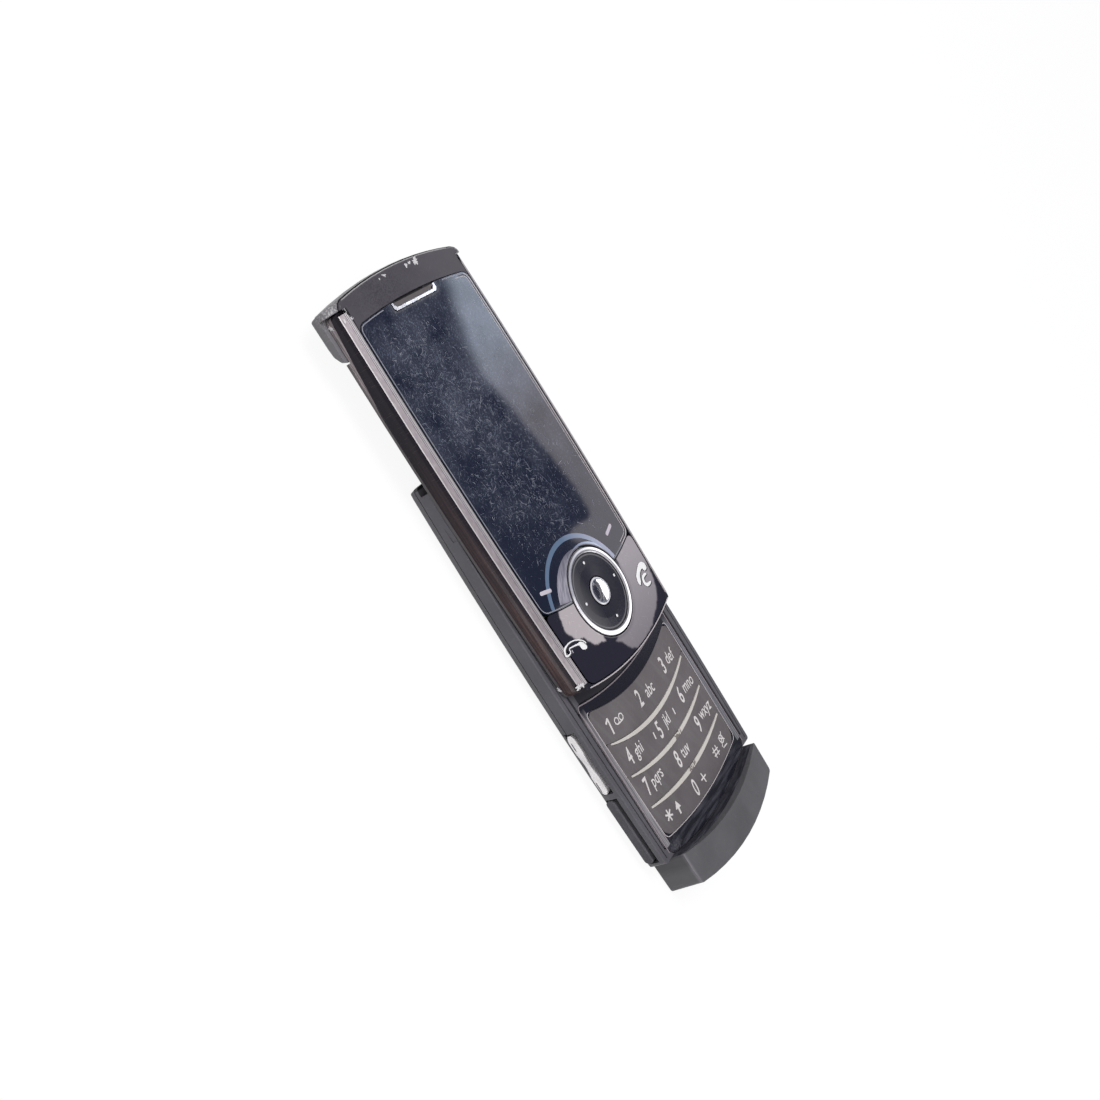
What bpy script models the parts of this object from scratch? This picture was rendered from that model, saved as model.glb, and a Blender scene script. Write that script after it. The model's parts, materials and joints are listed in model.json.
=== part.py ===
"""Slider phone, lying on its back and slid open.

The phone is two thin moulded halves with barrel sides and arched ends. The lower half holds the keypad,
the battery and the radio; the upper half holds the display, the navigation key and the camera, and
runs on two hooked steel runners in grooves of the lower half. +X is the user's right, +Y points to the
earpiece and +Z out of the display. The origin is on the back face, in the middle of the lower half.
All lengths are in metres.
"""
import math

import bpy
from mathutils import Matrix, Vector

# Overall sizes
BODY_WIDTH = 0.0495
BASE_LENGTH = 0.1035
CAP_OVERHANG = 0.00015
THICKNESS = 0.0109
BASE_THICKNESS = 0.0061
SLIDE_TRAVEL = 0.0398
SIDE_RADIUS = 1.100
LOWER_BARREL_Y = -0.0020
UPPER_BARREL_Y = 0.0493
CHIN_RADIUS = 0.072
BASE_TOP_RADIUS = 0.600
CAP_RADIUS = 0.110
STRAIGHT_RADIUS = 50.0

# Clearances and cut lengths
RUNNING_GAP = 0.0003
SEAM_GAP = 0.0002
SEAT_GAP = 0.0001
KEY_GAP = 0.00025
OVERRUN = 0.003

# Lower half: moulded shell
BACK_EDGE_RADIUS = 0.0031
FRONT_EDGE_ROUND = 0.0002
BASE_CORNER = 0.0008
SHELL_END_FROM_CHIN = 0.01075
CAP_STEP_Z = 0.0039
BACK_WALL = 0.0012
FRONT_CAVITY_INSET = 0.00575
FRONT_CAVITY_END_MARGIN = 0.0040
RIM_LINE_INSET = 0.0014
RIM_LINE_WIDTH = 0.00025
RIM_LINE_DEPTH = 0.0003

# Lower half: grooves and runners that hold the two halves together
GROOVE_INSET = 0.00265
GROOVE_MOUTH = 0.0006
GROOVE_HOOK = 0.0008
GROOVE_FLOOR_Z = 0.0040
GROOVE_LIP_Z = 0.0048
STEEL = 0.0003
RUNNER_LENGTH = 0.0370
RUNNER_SIDE_GAP = 0.00015
RUNNER_START_FROM_EDGE = 0.0050

# Lower half: battery bay and cover
COVER_EDGE_Y = -0.0070
COVER_WALL = 0.0009
COVER_SEAM_Z = 0.0029
COVER_TRAVEL = 0.0050
BATTERY_WIDTH = 0.0340
BATTERY_LENGTH = 0.0440
BATTERY_THICKNESS = 0.0026
BATTERY_CORNER = 0.0015
BAY_SHIFT_Y = 0.0190

# Keypad
KEYPAD_INSET = 0.00485
KEYPAD_TOP_Y = -0.0096
KEYPAD_BOTTOM_Y = -0.03965
KEYPAD_TOP_RADIUS = 0.051
KEYPAD_BOTTOM_RADIUS = 0.095
KEYPAD_CORNER = 0.0025
KEY_THICKNESS = 0.0008
KEY_BELOW_FRONT = 0.00005
KEY_TRAVEL = 0.00022
RIDGE_INSET = 0.0064
RIDGE_FIRST_APEX_Y = -0.0181
RIDGE_PITCH = 0.00745
RIDGE_FIRST_RADIUS = 0.049
RIDGE_RADIUS_STEP = 0.011
RIDGE_MIDDLE_WIDTH = 0.0010
RIDGE_END_WIDTH = 0.0004
RIDGE_PROUD = 0.0001
RIDGE_COUNT = 3
BEZEL_INSET = 0.00335
BEZEL_TOP_Y = -0.00615
BEZEL_CORNER = 0.0022
BEZEL_THICKNESS = 0.0007
BEZEL_CHAMFER = 0.0003

# Chin
CHIN_DEPTH = 0.0073
CHIN_INSET = 0.0029
CHIN_CORNER = 0.0006
CHIN_CROWN_Z = 0.0099
CHIN_EDGE_Z = 0.0086
CHIN_EDGE_ROUND = 0.0005
CHIN_BACK_CHAMFER = 0.0003
CHIN_HEEL = 0.0006
CHIN_STEP = 0.0004
CHIN_STEP_Z = 0.0077

# Inner pieces of the lower half
BOARD_THICKNESS = 0.0006
BOARD_MARGIN = 0.0006
DOME_SHEET_THICKNESS = 0.00025
DOME_RADIUS = 0.0020
DOME_HEIGHT = 0.00015
SPEAKER_LENGTH = 0.0110
SPEAKER_WIDTH = 0.0150
SPEAKER_THICKNESS = 0.0020
MOTOR_RADIUS = 0.0040
MOTOR_THICKNESS = 0.0020
SIM_WIDTH = 0.0160
SIM_LENGTH = 0.0140
SIM_THICKNESS = 0.0003
SOCKET_LENGTH = 0.0105
SOCKET_DEPTH = 0.0040
SOCKET_THICKNESS = 0.0020
SWITCH_LENGTH = 0.0030
SWITCH_DEPTH = 0.0012
SWITCH_HEIGHT = 0.0013
MICROPHONE_RADIUS = 0.0020
MICROPHONE_THICKNESS = 0.0012
SCREW_RADIUS = 0.0013
SCREW_HEAD = 0.0006
SCREW_INSET = 0.00775
SCREW_EDGE_Y = 0.0060

# Side keys and connector flap of the lower half
VOLUME_MIDDLE_Y = -0.01455
VOLUME_LENGTH = 0.0147
VOLUME_HEIGHT = 0.0019
VOLUME_WAIST_SHARE = 0.62
VOLUME_WAIST_SPAN_SHARE = 0.40
VOLUME_END_SHARE = 0.985
VOLUME_END_POWER = 10
VOLUME_MIDDLE_Z = 0.00335
VOLUME_TILT_ROOM = 0.00045
SIDE_KEY_DEPTH = 0.0014
SIDE_KEY_PROUD = 0.0001
SIDE_KEY_NAIL_ROOM = 0.0005
SHUTTER_MIDDLE_Y = -0.0180
SHUTTER_LENGTH = 0.0085
SHUTTER_HEIGHT = 0.0018
SHUTTER_TRAVEL = 0.00030
FLAP_LOW_Y = -0.03975
FLAP_HIGH_Y = -0.0236
FLAP_LOW_Z = 0.0015
FLAP_HIGH_Z = 0.0038
FLAP_DEPTH = 0.0019
FLAP_PROUD = 0.0003
FLAP_ROUND = 0.00025
FLAP_CORNER = 0.0009
FLAP_NAIL_ROOM = 0.0008

# Upper half: frame and bright strips
SLIDER_BOTTOM_Y = -0.00382
SLIDER_BOTTOM_RADIUS = 0.0725
SLIDER_CORNER = 0.0013
RAIL_INSET = 0.00055
RAIL_LIP = 0.0002
RAIL_LIP_HEIGHT = 0.0009
RAIL_TOP_FROM_CAP_TOP = 0.0043
STRIP_OUTER_INSET = 0.0020
STRIP_INNER_INSET = 0.00345
STRIP_WALL = 0.00055
STRIP_HEIGHT = 0.0010
BOTTOM_RIM = 0.0006
RIM_BELOW_FRONT = 0.00015
STRIP_START = 0.0040
STRIP_TOP_MARGIN = 0.0007
STRIP_TOP_SLANT = 0.0017
FRAME_FLOOR = 0.0009
REAR_SKIN = 0.00050
REAR_PANEL_INSET = 0.00325
FRAME_CAVITY_INSET = 0.00545
FRAME_CAVITY_MARGIN = 0.0045

# Upper half: end cap
CAP_INSET = 0.0002
CAP_SIDE_LENGTH = 0.0132
CAP_BOTTOM_Z = 0.00515
CAP_CORNER = 0.0008
CAP_FRONT_CORNER = 0.0020
CAP_SKIRT_TOP_Z = 0.0073
CAP_SHOULDER_Z = 0.0080
CAP_BAND_TOP_Z = 0.0103
CAP_BAND = 0.0006
CAP_CREST_INSET = 0.0024
CAP_SKIRT_ROUND = 0.0035
CAP_BACK_ROUND = 0.0003
CAP_WALL = 0.0004
CAP_END_WALL = 0.00235
CAP_FRONT_INSET = 0.00305
CAP_FRONT_ROUND = 0.00035

# Upper half: window, fascia and navigation key
WINDOW_INSET = 0.00435
WINDOW_TOP_Y = 0.0846
WINDOW_TOP_RADIUS = 0.143
WINDOW_BOTTOM_Y = 0.0133
WINDOW_BOTTOM_RADIUS = 0.065
WINDOW_CORNER = 0.0016
WINDOW_THICKNESS = 0.0009
NAV_CENTRE_Y = 0.01163
NAV_RADIUS = 0.00994
NAV_RIM_WIDTH = 0.00125
NAV_PROUD = 0.00015
NAV_THICKNESS = 0.0009
NAV_TILT_DEG = 1.2
NAV_PAD_RADIUS = 0.0072
NAV_PAD_THICKNESS = 0.0013
NAV_PAD_GAP = 0.00025
CENTRE_KEY_RADIUS = 0.0031
CENTRE_KEY_TRAVEL = 0.00025
CENTRE_KEY_THICKNESS = 0.0022
NAV_DISH = 0.00015

# Upper half: earpiece, display and camera
EAR_HALF_WIDTH = 0.0078
EAR_HEIGHT = 0.0021
EAR_TRIM_WIDTH = 0.0006
EAR_CHAMFER = 0.0006
RECEIVER_LENGTH = 0.0100
RECEIVER_WIDTH = 0.0030
RECEIVER_THICKNESS = 0.0020
LCD_INSET = 0.00625
LCD_LOW_Y = 0.0240
LCD_HIGH_Y = 0.0775
LCD_THICKNESS = 0.0014
UPPER_BOARD_THICKNESS = 0.0005
UPPER_BOARD_HIGH_Y = 0.0600
RIBBON_HALF_WIDTH = 0.0060
RIBBON_LENGTH = 0.0450
RIBBON_THICKNESS = 0.00015
CAMERA_Y = 0.0690
CAMERA_RADIUS = 0.0040
CAMERA_HOUSING_HALF = 0.0041
CAMERA_WINDOW_THICKNESS = 0.0003
FLASH_OFFSET_X = 0.0085
FLASH_RADIUS = 0.0016
CAMERA_LENS_RADIUS = 0.0028

# Smoothness of curved outlines
END_STEPS = 10
SIDE_STEPS = 8
CORNER_STEPS = 3
ROUND_STEPS = 3
CIRCLE_STEPS = 40
SMALL_CIRCLE_STEPS = 20
DOME_STEPS = 8
CORNER_TURNS = 8
FIRST_POINT_SHARE = 0.5
SMALL_CORNER = 0.0002
SHARP_ANGLE = math.radians(35)

# Places that follow from the sizes above
HALF_LENGTH = BASE_LENGTH / 2
HALF_WIDTH = BODY_WIDTH / 2
FRONT_CAVITY_HALF = HALF_WIDTH - FRONT_CAVITY_INSET
GROOVE_OUTER = HALF_WIDTH - GROOVE_INSET
KEYPAD_HALF_WIDTH = HALF_WIDTH - KEYPAD_INSET
RIDGE_HALF_LENGTH = HALF_WIDTH - RIDGE_INSET
BEZEL_HALF_WIDTH = HALF_WIDTH - BEZEL_INSET
CHIN_HALF_WIDTH = HALF_WIDTH - CHIN_INSET
RAIL_HALF_WIDTH = HALF_WIDTH - RAIL_INSET
STRIP_OUTER_HALF = HALF_WIDTH - STRIP_OUTER_INSET
STRIP_INNER_HALF = HALF_WIDTH - STRIP_INNER_INSET
REAR_PANEL_HALF_WIDTH = HALF_WIDTH - REAR_PANEL_INSET
FRAME_CAVITY_HALF = HALF_WIDTH - FRAME_CAVITY_INSET
CAP_HALF_WIDTH = HALF_WIDTH - CAP_INSET
CAP_FRONT_HALF = HALF_WIDTH - CAP_FRONT_INSET
CAP_CREST_HALF = HALF_WIDTH - CAP_CREST_INSET
WINDOW_HALF_WIDTH = HALF_WIDTH - WINDOW_INSET
LCD_HALF_WIDTH = HALF_WIDTH - LCD_INSET
SCREW_X = HALF_WIDTH - SCREW_INSET
SHELL_END_Y = -HALF_LENGTH + SHELL_END_FROM_CHIN
SLIDER_TOP_Y = HALF_LENGTH + CAP_OVERHANG + SLIDE_TRAVEL
SLIDER_REAR_Z = BASE_THICKNESS + RUNNING_GAP
STRIP_LOW_Z = THICKNESS - STRIP_HEIGHT
CAP_LOW_Y = SLIDER_TOP_Y - CAP_SIDE_LENGTH
CAP_WALL_Y = SLIDER_TOP_Y - CAP_END_WALL
CAP_STEP_Y = CAP_WALL_Y - SLIDE_TRAVEL - RUNNING_GAP
KEY_TOP_Z = BASE_THICKNESS - KEY_BELOW_FRONT
KEY_LOW_Z = KEY_TOP_Z - KEY_THICKNESS
BEZEL_LOW_Z = BASE_THICKNESS - BEZEL_THICKNESS
CHIN_INNER_Y = -HALF_LENGTH + CHIN_DEPTH
GROOVE_INNER = GROOVE_OUTER - GROOVE_MOUTH
SLIDER_MIDDLE_Y = (SLIDER_BOTTOM_Y + SLIDER_TOP_Y) / 2
RAIL_HIGH_Y = SLIDER_TOP_Y - RAIL_TOP_FROM_CAP_TOP
WINDOW_LOW_Z = THICKNESS - WINDOW_THICKNESS
WINDOW_SEAT_Z = WINDOW_LOW_Z - SEAT_GAP
FRAME_FLOOR_Z = SLIDER_REAR_Z + FRAME_FLOOR
STRIP_WALL_X = STRIP_INNER_HALF - STRIP_WALL
RUNNER_LOW_Y = SLIDER_BOTTOM_Y + RUNNER_START_FROM_EDGE
RUNNER_HIGH_Y = RUNNER_LOW_Y + RUNNER_LENGTH

FINISHES = {
    "satin_grey": ((0.080, 0.080, 0.090), 0.45, 0.0),
    "satin_violet": ((0.060, 0.055, 0.075), 0.38, 0.0),
    "chin_grey": ((0.075, 0.075, 0.085), 0.55, 0.0),
    "gloss_navy": ((0.012, 0.012, 0.020), 0.10, 0.0),
    "gloss_brown": ((0.035, 0.020, 0.020), 0.12, 0.0),
    "gloss_mirror": ((0.020, 0.021, 0.035), 0.06, 0.3),
    "strip_pink": ((0.450, 0.390, 0.400), 0.30, 0.6),
    "chrome": ((0.800, 0.800, 0.820), 0.08, 1.0),
    "keypad": ((0.110, 0.095, 0.090), 0.40, 0.2),
    "ivory": ((0.620, 0.580, 0.520), 0.40, 0.0),
    "charcoal": ((0.022, 0.022, 0.030), 0.25, 0.0),
    "rubber": ((0.055, 0.055, 0.060), 0.75, 0.0),
    "glass": ((0.010, 0.014, 0.030), 0.05, 0.0),
    "steel": ((0.560, 0.560, 0.580), 0.30, 1.0),
    "board_green": ((0.020, 0.130, 0.060), 0.50, 0.0),
    "battery_grey": ((0.300, 0.300, 0.320), 0.50, 0.0),
    "black": ((0.015, 0.015, 0.016), 0.50, 0.0),
    "mesh_brown": ((0.120, 0.100, 0.080), 0.50, 0.4),
    "clear_yellow": ((0.700, 0.650, 0.400), 0.20, 0.0),
}


def sag(distance, radius):
    """Depth of a circular arc at a distance from its crown; a negative radius bows the other way."""
    size = abs(radius)
    depth = size - math.sqrt(size * size - distance * distance)
    return math.copysign(depth, radius)


class Plan:
    """A closed plan outline with barrel sides, arched ends and rounded corners."""

    def __init__(self, half_width, low, high, corner, low_radius, high_radius, centre=0.0,
                 side_radius=SIDE_RADIUS):
        self.half_width = half_width
        self.low = low
        self.high = high
        self.corner = corner
        self.low_radius = low_radius
        self.high_radius = high_radius
        self.centre = centre
        self.side_radius = side_radius

    def side(self, y):
        """Half width at y."""
        return self.half_width - sag(y - self.centre, self.side_radius)

    def low_edge(self, x):
        return self.low + sag(x, self.low_radius)

    def high_edge(self, x):
        return self.high - sag(x, self.high_radius)

    def shrunk(self, inset, low_inset=None, high_inset=None):
        """The same outline drawn in by an inset on its sides, and by its own insets at the ends."""
        low_inset = inset if low_inset is None else low_inset
        high_inset = inset if high_inset is None else high_inset
        corner = max(self.corner - inset, SMALL_CORNER)
        return Plan(self.half_width - inset, self.low + low_inset, self.high - high_inset, corner,
                    self.low_radius, self.high_radius, self.centre, self.side_radius)

    def corner_place(self, edge):
        """Where a barrel side meets an arched end."""
        x = self.half_width
        for _ in range(CORNER_TURNS):
            x = self.side(edge(x))
        return x, edge(x)

    def points(self):
        """Corner arcs joined by the sampled ends and sides, anticlockwise from the low left end."""
        low_x, low_y = self.corner_place(self.low_edge)
        high_x, high_y = self.corner_place(self.high_edge)
        c = self.corner
        low_end = [(x, self.low_edge(x)) for x in steps(c - low_x, low_x - c, END_STEPS)]
        right = [(self.side(y), y) for y in steps(low_y + c, high_y - c, SIDE_STEPS)]
        high_end = [(x, self.high_edge(x)) for x in steps(high_x - c, c - high_x, END_STEPS)]
        left = [(-x, y) for x, y in reversed(right)]
        return (low_end + corner_arc(low_end[-1], (low_x, low_y), right[0])
                + right + corner_arc(right[-1], (high_x, high_y), high_end[0])
                + high_end + corner_arc(high_end[-1], (-high_x, high_y), left[0])
                + left + corner_arc(left[-1], (-low_x, low_y), low_end[0]))


def steps(start, end, count):
    """Evenly spaced values from start to end, both included."""
    return [start + (end - start) * i / count for i in range(count + 1)]


def corner_arc(start, corner, end):
    """Points strictly between start and end on the arc that rounds a right-angled corner."""
    weight = math.cos(math.pi / 4)
    points = []
    for i in range(1, CORNER_STEPS):
        t = i / CORNER_STEPS
        a, b, c = (1 - t) ** 2, 2 * weight * t * (1 - t), t * t
        points.append(tuple((a * p + b * q + c * r) / (a + b + c) for p, q, r in zip(start, corner, end)))
    return points


def rectangle(x0, x1, y0, y1):
    return [(x0, y0), (x1, y0), (x1, y1), (x0, y1)]


def circle(x, y, radius, count=CIRCLE_STEPS):
    """A regular polygon round a centre."""
    angles = [2 * math.pi * (i + FIRST_POINT_SHARE) / count for i in range(count)]
    return [(x + radius * math.cos(a), y + radius * math.sin(a)) for a in angles]


def rounded_box(half_x, y0, y1, corner):
    """A straight-sided outline with rounded corners, centred on x zero."""
    return Plan(half_x, y0, y1, corner, STRAIGHT_RADIUS, STRAIGHT_RADIUS, 0.0, STRAIGHT_RADIUS).points()


def finish(piece, name):
    """Give a piece its own Principled material."""
    colour, roughness, metallic = FINISHES[name]
    material = bpy.data.materials.new(piece.name + "_" + name)
    material.use_nodes = True
    shader = material.node_tree.nodes["Principled BSDF"]
    shader.inputs["Base Color"].default_value = (*colour, 1.0)
    shader.inputs["Roughness"].default_value = roughness
    shader.inputs["Metallic"].default_value = metallic
    material.diffuse_color = (*colour, 1.0)
    piece.data.materials.append(material)


def make(name, vertices, faces, finish_name):
    """A mesh object from vertices and faces, shaded smooth with sharp edges kept."""
    mesh = bpy.data.meshes.new(name)
    mesh.from_pydata(vertices, [], faces)
    mesh.shade_smooth()
    mesh.set_sharp_from_angle(angle=SHARP_ANGLE)
    piece = bpy.data.objects.new(name, mesh)
    bpy.context.scene.collection.objects.link(piece)
    if finish_name:
        finish(piece, finish_name)
    return piece


def loft(name, levels, finish_name=None):
    """A closed skin through stacked outlines: levels are (z, outline), lowest first."""
    count = len(levels[0][1])
    vertices = [(x, y, z) for z, outline in levels for x, y in outline]
    faces = [tuple(reversed(range(count)))]
    for level in range(len(levels) - 1):
        a = level * count
        for i in range(count):
            j = (i + 1) % count
            faces.append((a + i, a + j, a + count + j, a + count + i))
    faces.append(tuple(range((len(levels) - 1) * count, len(levels) * count)))
    return make(name, vertices, faces, finish_name)


def slab(name, outline, z0, z1, finish_name=None):
    return loft(name, [(z0, outline), (z1, outline)], finish_name)


def block(name, x, y, z, finish_name=None):
    """A box from its (low, high) limits along each axis."""
    return slab(name, rectangle(x[0], x[1], y[0], y[1]), z[0], z[1], finish_name)


def along_y(name, section, y0, y1, finish_name=None):
    """A section of (x, z) points, anticlockwise seen from -Y, extruded from y0 to y1."""
    count = len(section)
    vertices = [(x, y, z) for y in (y0, y1) for x, z in section]
    faces = [tuple(range(count)), tuple(reversed(range(count, 2 * count)))]
    for i in range(count):
        j = (i + 1) % count
        faces.append((i, count + i, count + j, j))
    return make(name, vertices, faces, finish_name)


def along_x(name, section, x0, x1, finish_name=None):
    """A section of (y, z) points, anticlockwise seen from +X, extruded from x0 to x1."""
    count = len(section)
    vertices = [(x, y, z) for x in (x0, x1) for y, z in section]
    faces = [tuple(reversed(range(count))), tuple(range(count, 2 * count))]
    for i in range(count):
        j = (i + 1) % count
        faces.append((i, j, count + j, count + i))
    return make(name, vertices, faces, finish_name)


def ring(name, x, y, profile, finish_name, count=CIRCLE_STEPS):
    """A closed (radius, z) profile, anticlockwise with the radius to the right, turned about Z."""
    sides = len(profile)
    vertices = []
    for i in range(count):
        angle = 2 * math.pi * (i + FIRST_POINT_SHARE) / count
        vertices += [(x + r * math.cos(angle), y + r * math.sin(angle), z) for r, z in profile]
    faces = []
    for i in range(count):
        a, b = i * sides, (i + 1) % count * sides
        for k in range(sides):
            m = (k + 1) % sides
            faces.append((a + k, b + k, b + m, a + m))
    return make(name, vertices, faces, finish_name)


def combine(target, tool, operation):
    """Boolean with a tool that is kept out of the model."""
    modifier = target.modifiers.new(operation.lower() + "_" + tool.name, "BOOLEAN")
    modifier.operation = operation
    modifier.solver = "EXACT"
    modifier.object = tool
    tool.hide_render = True
    tool.display_type = "WIRE"


def cut(target, *tools):
    for tool in tools:
        combine(target, tool, "DIFFERENCE")


def keep(target, *tools):
    for tool in tools:
        combine(target, tool, "INTERSECT")


def join(target, *tools):
    for tool in tools:
        combine(target, tool, "UNION")


def carrier(name, place, pieces, parent=None):
    """An empty on a joint's axis that carries the pieces, which stay where they were made."""
    empty = bpy.data.objects.new(name, None)
    empty.location = place
    empty.empty_display_size = BODY_WIDTH / END_STEPS
    bpy.context.scene.collection.objects.link(empty)
    if parent:
        empty.parent = parent
        empty.matrix_parent_inverse = Matrix.Translation(-parent.location)
    for piece in pieces:
        piece.parent = empty
        piece.matrix_parent_inverse = Matrix.Translation(-Vector(place))
    return empty


BASE_PLAN = Plan(HALF_WIDTH, SHELL_END_Y, HALF_LENGTH, BASE_CORNER, STRAIGHT_RADIUS, BASE_TOP_RADIUS,
                 LOWER_BARREL_Y)
KEYPAD_PLAN = Plan(KEYPAD_HALF_WIDTH, KEYPAD_BOTTOM_Y, KEYPAD_TOP_Y, KEYPAD_CORNER,
                   KEYPAD_BOTTOM_RADIUS, -KEYPAD_TOP_RADIUS)
BEZEL_PLAN = Plan(BEZEL_HALF_WIDTH, CHIN_INNER_Y + CHIN_STEP + SEAM_GAP, BEZEL_TOP_Y, BEZEL_CORNER,
                  CHIN_RADIUS, -SLIDER_BOTTOM_RADIUS, 0.0, STRAIGHT_RADIUS)
CHIN_PLAN = Plan(CHIN_HALF_WIDTH, -HALF_LENGTH, SHELL_END_Y - SEAM_GAP, CHIN_CORNER,
                 CHIN_RADIUS, STRAIGHT_RADIUS, LOWER_BARREL_Y)
SLIDER_PLAN = Plan(RAIL_HALF_WIDTH, SLIDER_BOTTOM_Y, RAIL_HIGH_Y, SLIDER_CORNER,
                   SLIDER_BOTTOM_RADIUS, STRAIGHT_RADIUS, UPPER_BARREL_Y)
CAP_PLAN = Plan(CAP_HALF_WIDTH, CAP_LOW_Y, SLIDER_TOP_Y, CAP_CORNER,
                STRAIGHT_RADIUS, CAP_RADIUS, UPPER_BARREL_Y, STRAIGHT_RADIUS)
CAP_FRONT_PLAN = Plan(CAP_FRONT_HALF, CAP_LOW_Y, SLIDER_TOP_Y - CAP_BAND, CAP_FRONT_CORNER,
                      STRAIGHT_RADIUS, CAP_RADIUS, UPPER_BARREL_Y, STRAIGHT_RADIUS)
WINDOW_PLAN = Plan(WINDOW_HALF_WIDTH, WINDOW_BOTTOM_Y, WINDOW_TOP_Y, WINDOW_CORNER,
                   WINDOW_BOTTOM_RADIUS, WINDOW_TOP_RADIUS, UPPER_BARREL_Y)
FASCIA_PLAN = Plan(WINDOW_HALF_WIDTH, SLIDER_BOTTOM_Y + BOTTOM_RIM, WINDOW_BOTTOM_Y - SEAM_GAP,
                   WINDOW_CORNER, SLIDER_BOTTOM_RADIUS, -WINDOW_BOTTOM_RADIUS, UPPER_BARREL_Y)


def base_skin(name, finish_name=None):
    """The lower half's outer form: rounded back edges, upright sides and a small round at the front."""
    levels = []
    for angle in steps(0, math.pi / 2, ROUND_STEPS):
        inset = BACK_EDGE_RADIUS * (1 - math.sin(angle))
        z = BACK_EDGE_RADIUS * (1 - math.cos(angle))
        levels.append((z, BASE_PLAN.shrunk(inset, 0.0).points()))
    levels.append((BASE_THICKNESS - FRONT_EDGE_ROUND, BASE_PLAN.points()))
    levels.append((BASE_THICKNESS, BASE_PLAN.shrunk(FRONT_EDGE_ROUND, 0.0).points()))
    return loft(name, levels, finish_name)


def back_form(name, depth, top):
    """The lower half's back, drawn in all round by one depth, up to a height."""
    radius = BACK_EDGE_RADIUS - depth
    levels = []
    for angle in steps(0, math.pi / 2, ROUND_STEPS):
        inset = depth + radius * (1 - math.sin(angle))
        z = depth + radius * (1 - math.cos(angle))
        levels.append((z, BASE_PLAN.shrunk(inset, -OVERRUN).points()))
    levels.append((top, BASE_PLAN.shrunk(depth, -OVERRUN).points()))
    return loft(name, levels)


def groove_cutter(side):
    """The hooked groove of one side, whose two ends stop the slide."""
    low = RUNNER_LOW_Y - SLIDE_TRAVEL - RUNNER_SIDE_GAP
    high = RUNNER_HIGH_Y + RUNNER_SIDE_GAP
    section = [(GROOVE_INNER - GROOVE_HOOK, GROOVE_FLOOR_Z), (GROOVE_OUTER, GROOVE_FLOOR_Z),
               (GROOVE_OUTER, BASE_THICKNESS + OVERRUN), (GROOVE_INNER, BASE_THICKNESS + OVERRUN),
               (GROOVE_INNER, GROOVE_LIP_Z), (GROOVE_INNER - GROOVE_HOOK, GROOVE_LIP_Z)]
    if side < 0:
        section = [(-x, z) for x, z in reversed(section)]
    return along_y("groove_cutter_" + ("left" if side < 0 else "right"), section, low, high)


def make_base_shell():
    """Side walls, board cavity and battery bay of the lower half, in one moulding."""
    shell = base_skin("base_shell", "satin_grey")
    far = HALF_LENGTH + OVERRUN
    wide = HALF_WIDTH + OVERRUN
    # Room for the sliding back cover: its floor, and its walls round the inner block
    cover_room = block("cover_room_cutter", (-wide, wide), (COVER_EDGE_Y, far),
                       (-OVERRUN, COVER_SEAM_Z + SEAM_GAP))
    inner_block = back_form("inner_block_cutter", COVER_WALL + RUNNING_GAP, BASE_THICKNESS)
    cut(cover_room, inner_block)
    # Cavity under the keypad, open to the front and closed by the bezel and the keys
    low = SHELL_END_Y + FRONT_CAVITY_END_MARGIN
    cavity = block("front_cavity_cutter", (-FRONT_CAVITY_HALF, FRONT_CAVITY_HALF),
                   (low, COVER_EDGE_Y - SEAM_GAP - BACK_WALL), (BACK_WALL, BASE_THICKNESS + OVERRUN))
    bezel_room = slab("bezel_room_cutter", BEZEL_PLAN.shrunk(-SEAM_GAP).points(),
                      BEZEL_LOW_Z - SEAT_GAP, BASE_THICKNESS + OVERRUN)
    bay = slab("bay_cutter", battery_outline(SEAM_GAP), -OVERRUN, bay_top())
    step = block("cap_step_cutter", (-wide, wide), (CAP_STEP_Y, far), (CAP_STEP_Z, BASE_THICKNESS + OVERRUN))
    key_room = slab("key_room_cutter", KEYPAD_PLAN.shrunk(-SEAM_GAP).points(),
                    dome_sheet_top(), BASE_THICKNESS + OVERRUN)
    cut(shell, cover_room, cavity, bezel_room, key_room, bay, step)
    cut(shell, groove_cutter(-1), groove_cutter(1), rim_line_cutter(-1), rim_line_cutter(1))
    cut(shell, cap_rebate_cutter(-1), cap_rebate_cutter(1))
    cut(shell, *side_pockets(), *screw_pockets())
    return shell


def cap_rebate_cutter(side):
    """Room for the end cap's side wall, which hangs beside the shell when the phone is closed."""
    low, high = sorted((side * (CAP_HALF_WIDTH - CAP_WALL - RUNNING_GAP), side * (HALF_WIDTH + OVERRUN)))
    return block("cap_rebate_cutter_" + ("left" if side < 0 else "right"), (low, high),
                 (CAP_LOW_Y - SLIDE_TRAVEL - RUNNING_GAP, HALF_LENGTH + OVERRUN),
                 (CAP_BOTTOM_Z - RUNNING_GAP, BASE_THICKNESS + OVERRUN))


def rim_line_cutter(side):
    """The fine line along the shell's front rim, which follows the barrel side."""
    ys = steps(SHELL_END_Y + BASE_CORNER, CAP_STEP_Y - BASE_CORNER, 2 * SIDE_STEPS)
    outside = [(side * (BASE_PLAN.side(y) - RIM_LINE_INSET + RIM_LINE_WIDTH), y) for y in ys]
    inside = [(side * (BASE_PLAN.side(y) - RIM_LINE_INSET), y) for y in ys]
    outline = outside + inside[::-1]
    return slab("rim_line_cutter_" + ("left" if side < 0 else "right"), outline if side > 0 else outline[::-1],
                BASE_THICKNESS - RIM_LINE_DEPTH, BASE_THICKNESS + OVERRUN)


def battery_outline(gap):
    low = BAY_SHIFT_Y - BATTERY_LENGTH / 2
    return rounded_box(BATTERY_WIDTH / 2 + gap, low - gap, low + BATTERY_LENGTH + gap,
                       BATTERY_CORNER)


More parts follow.
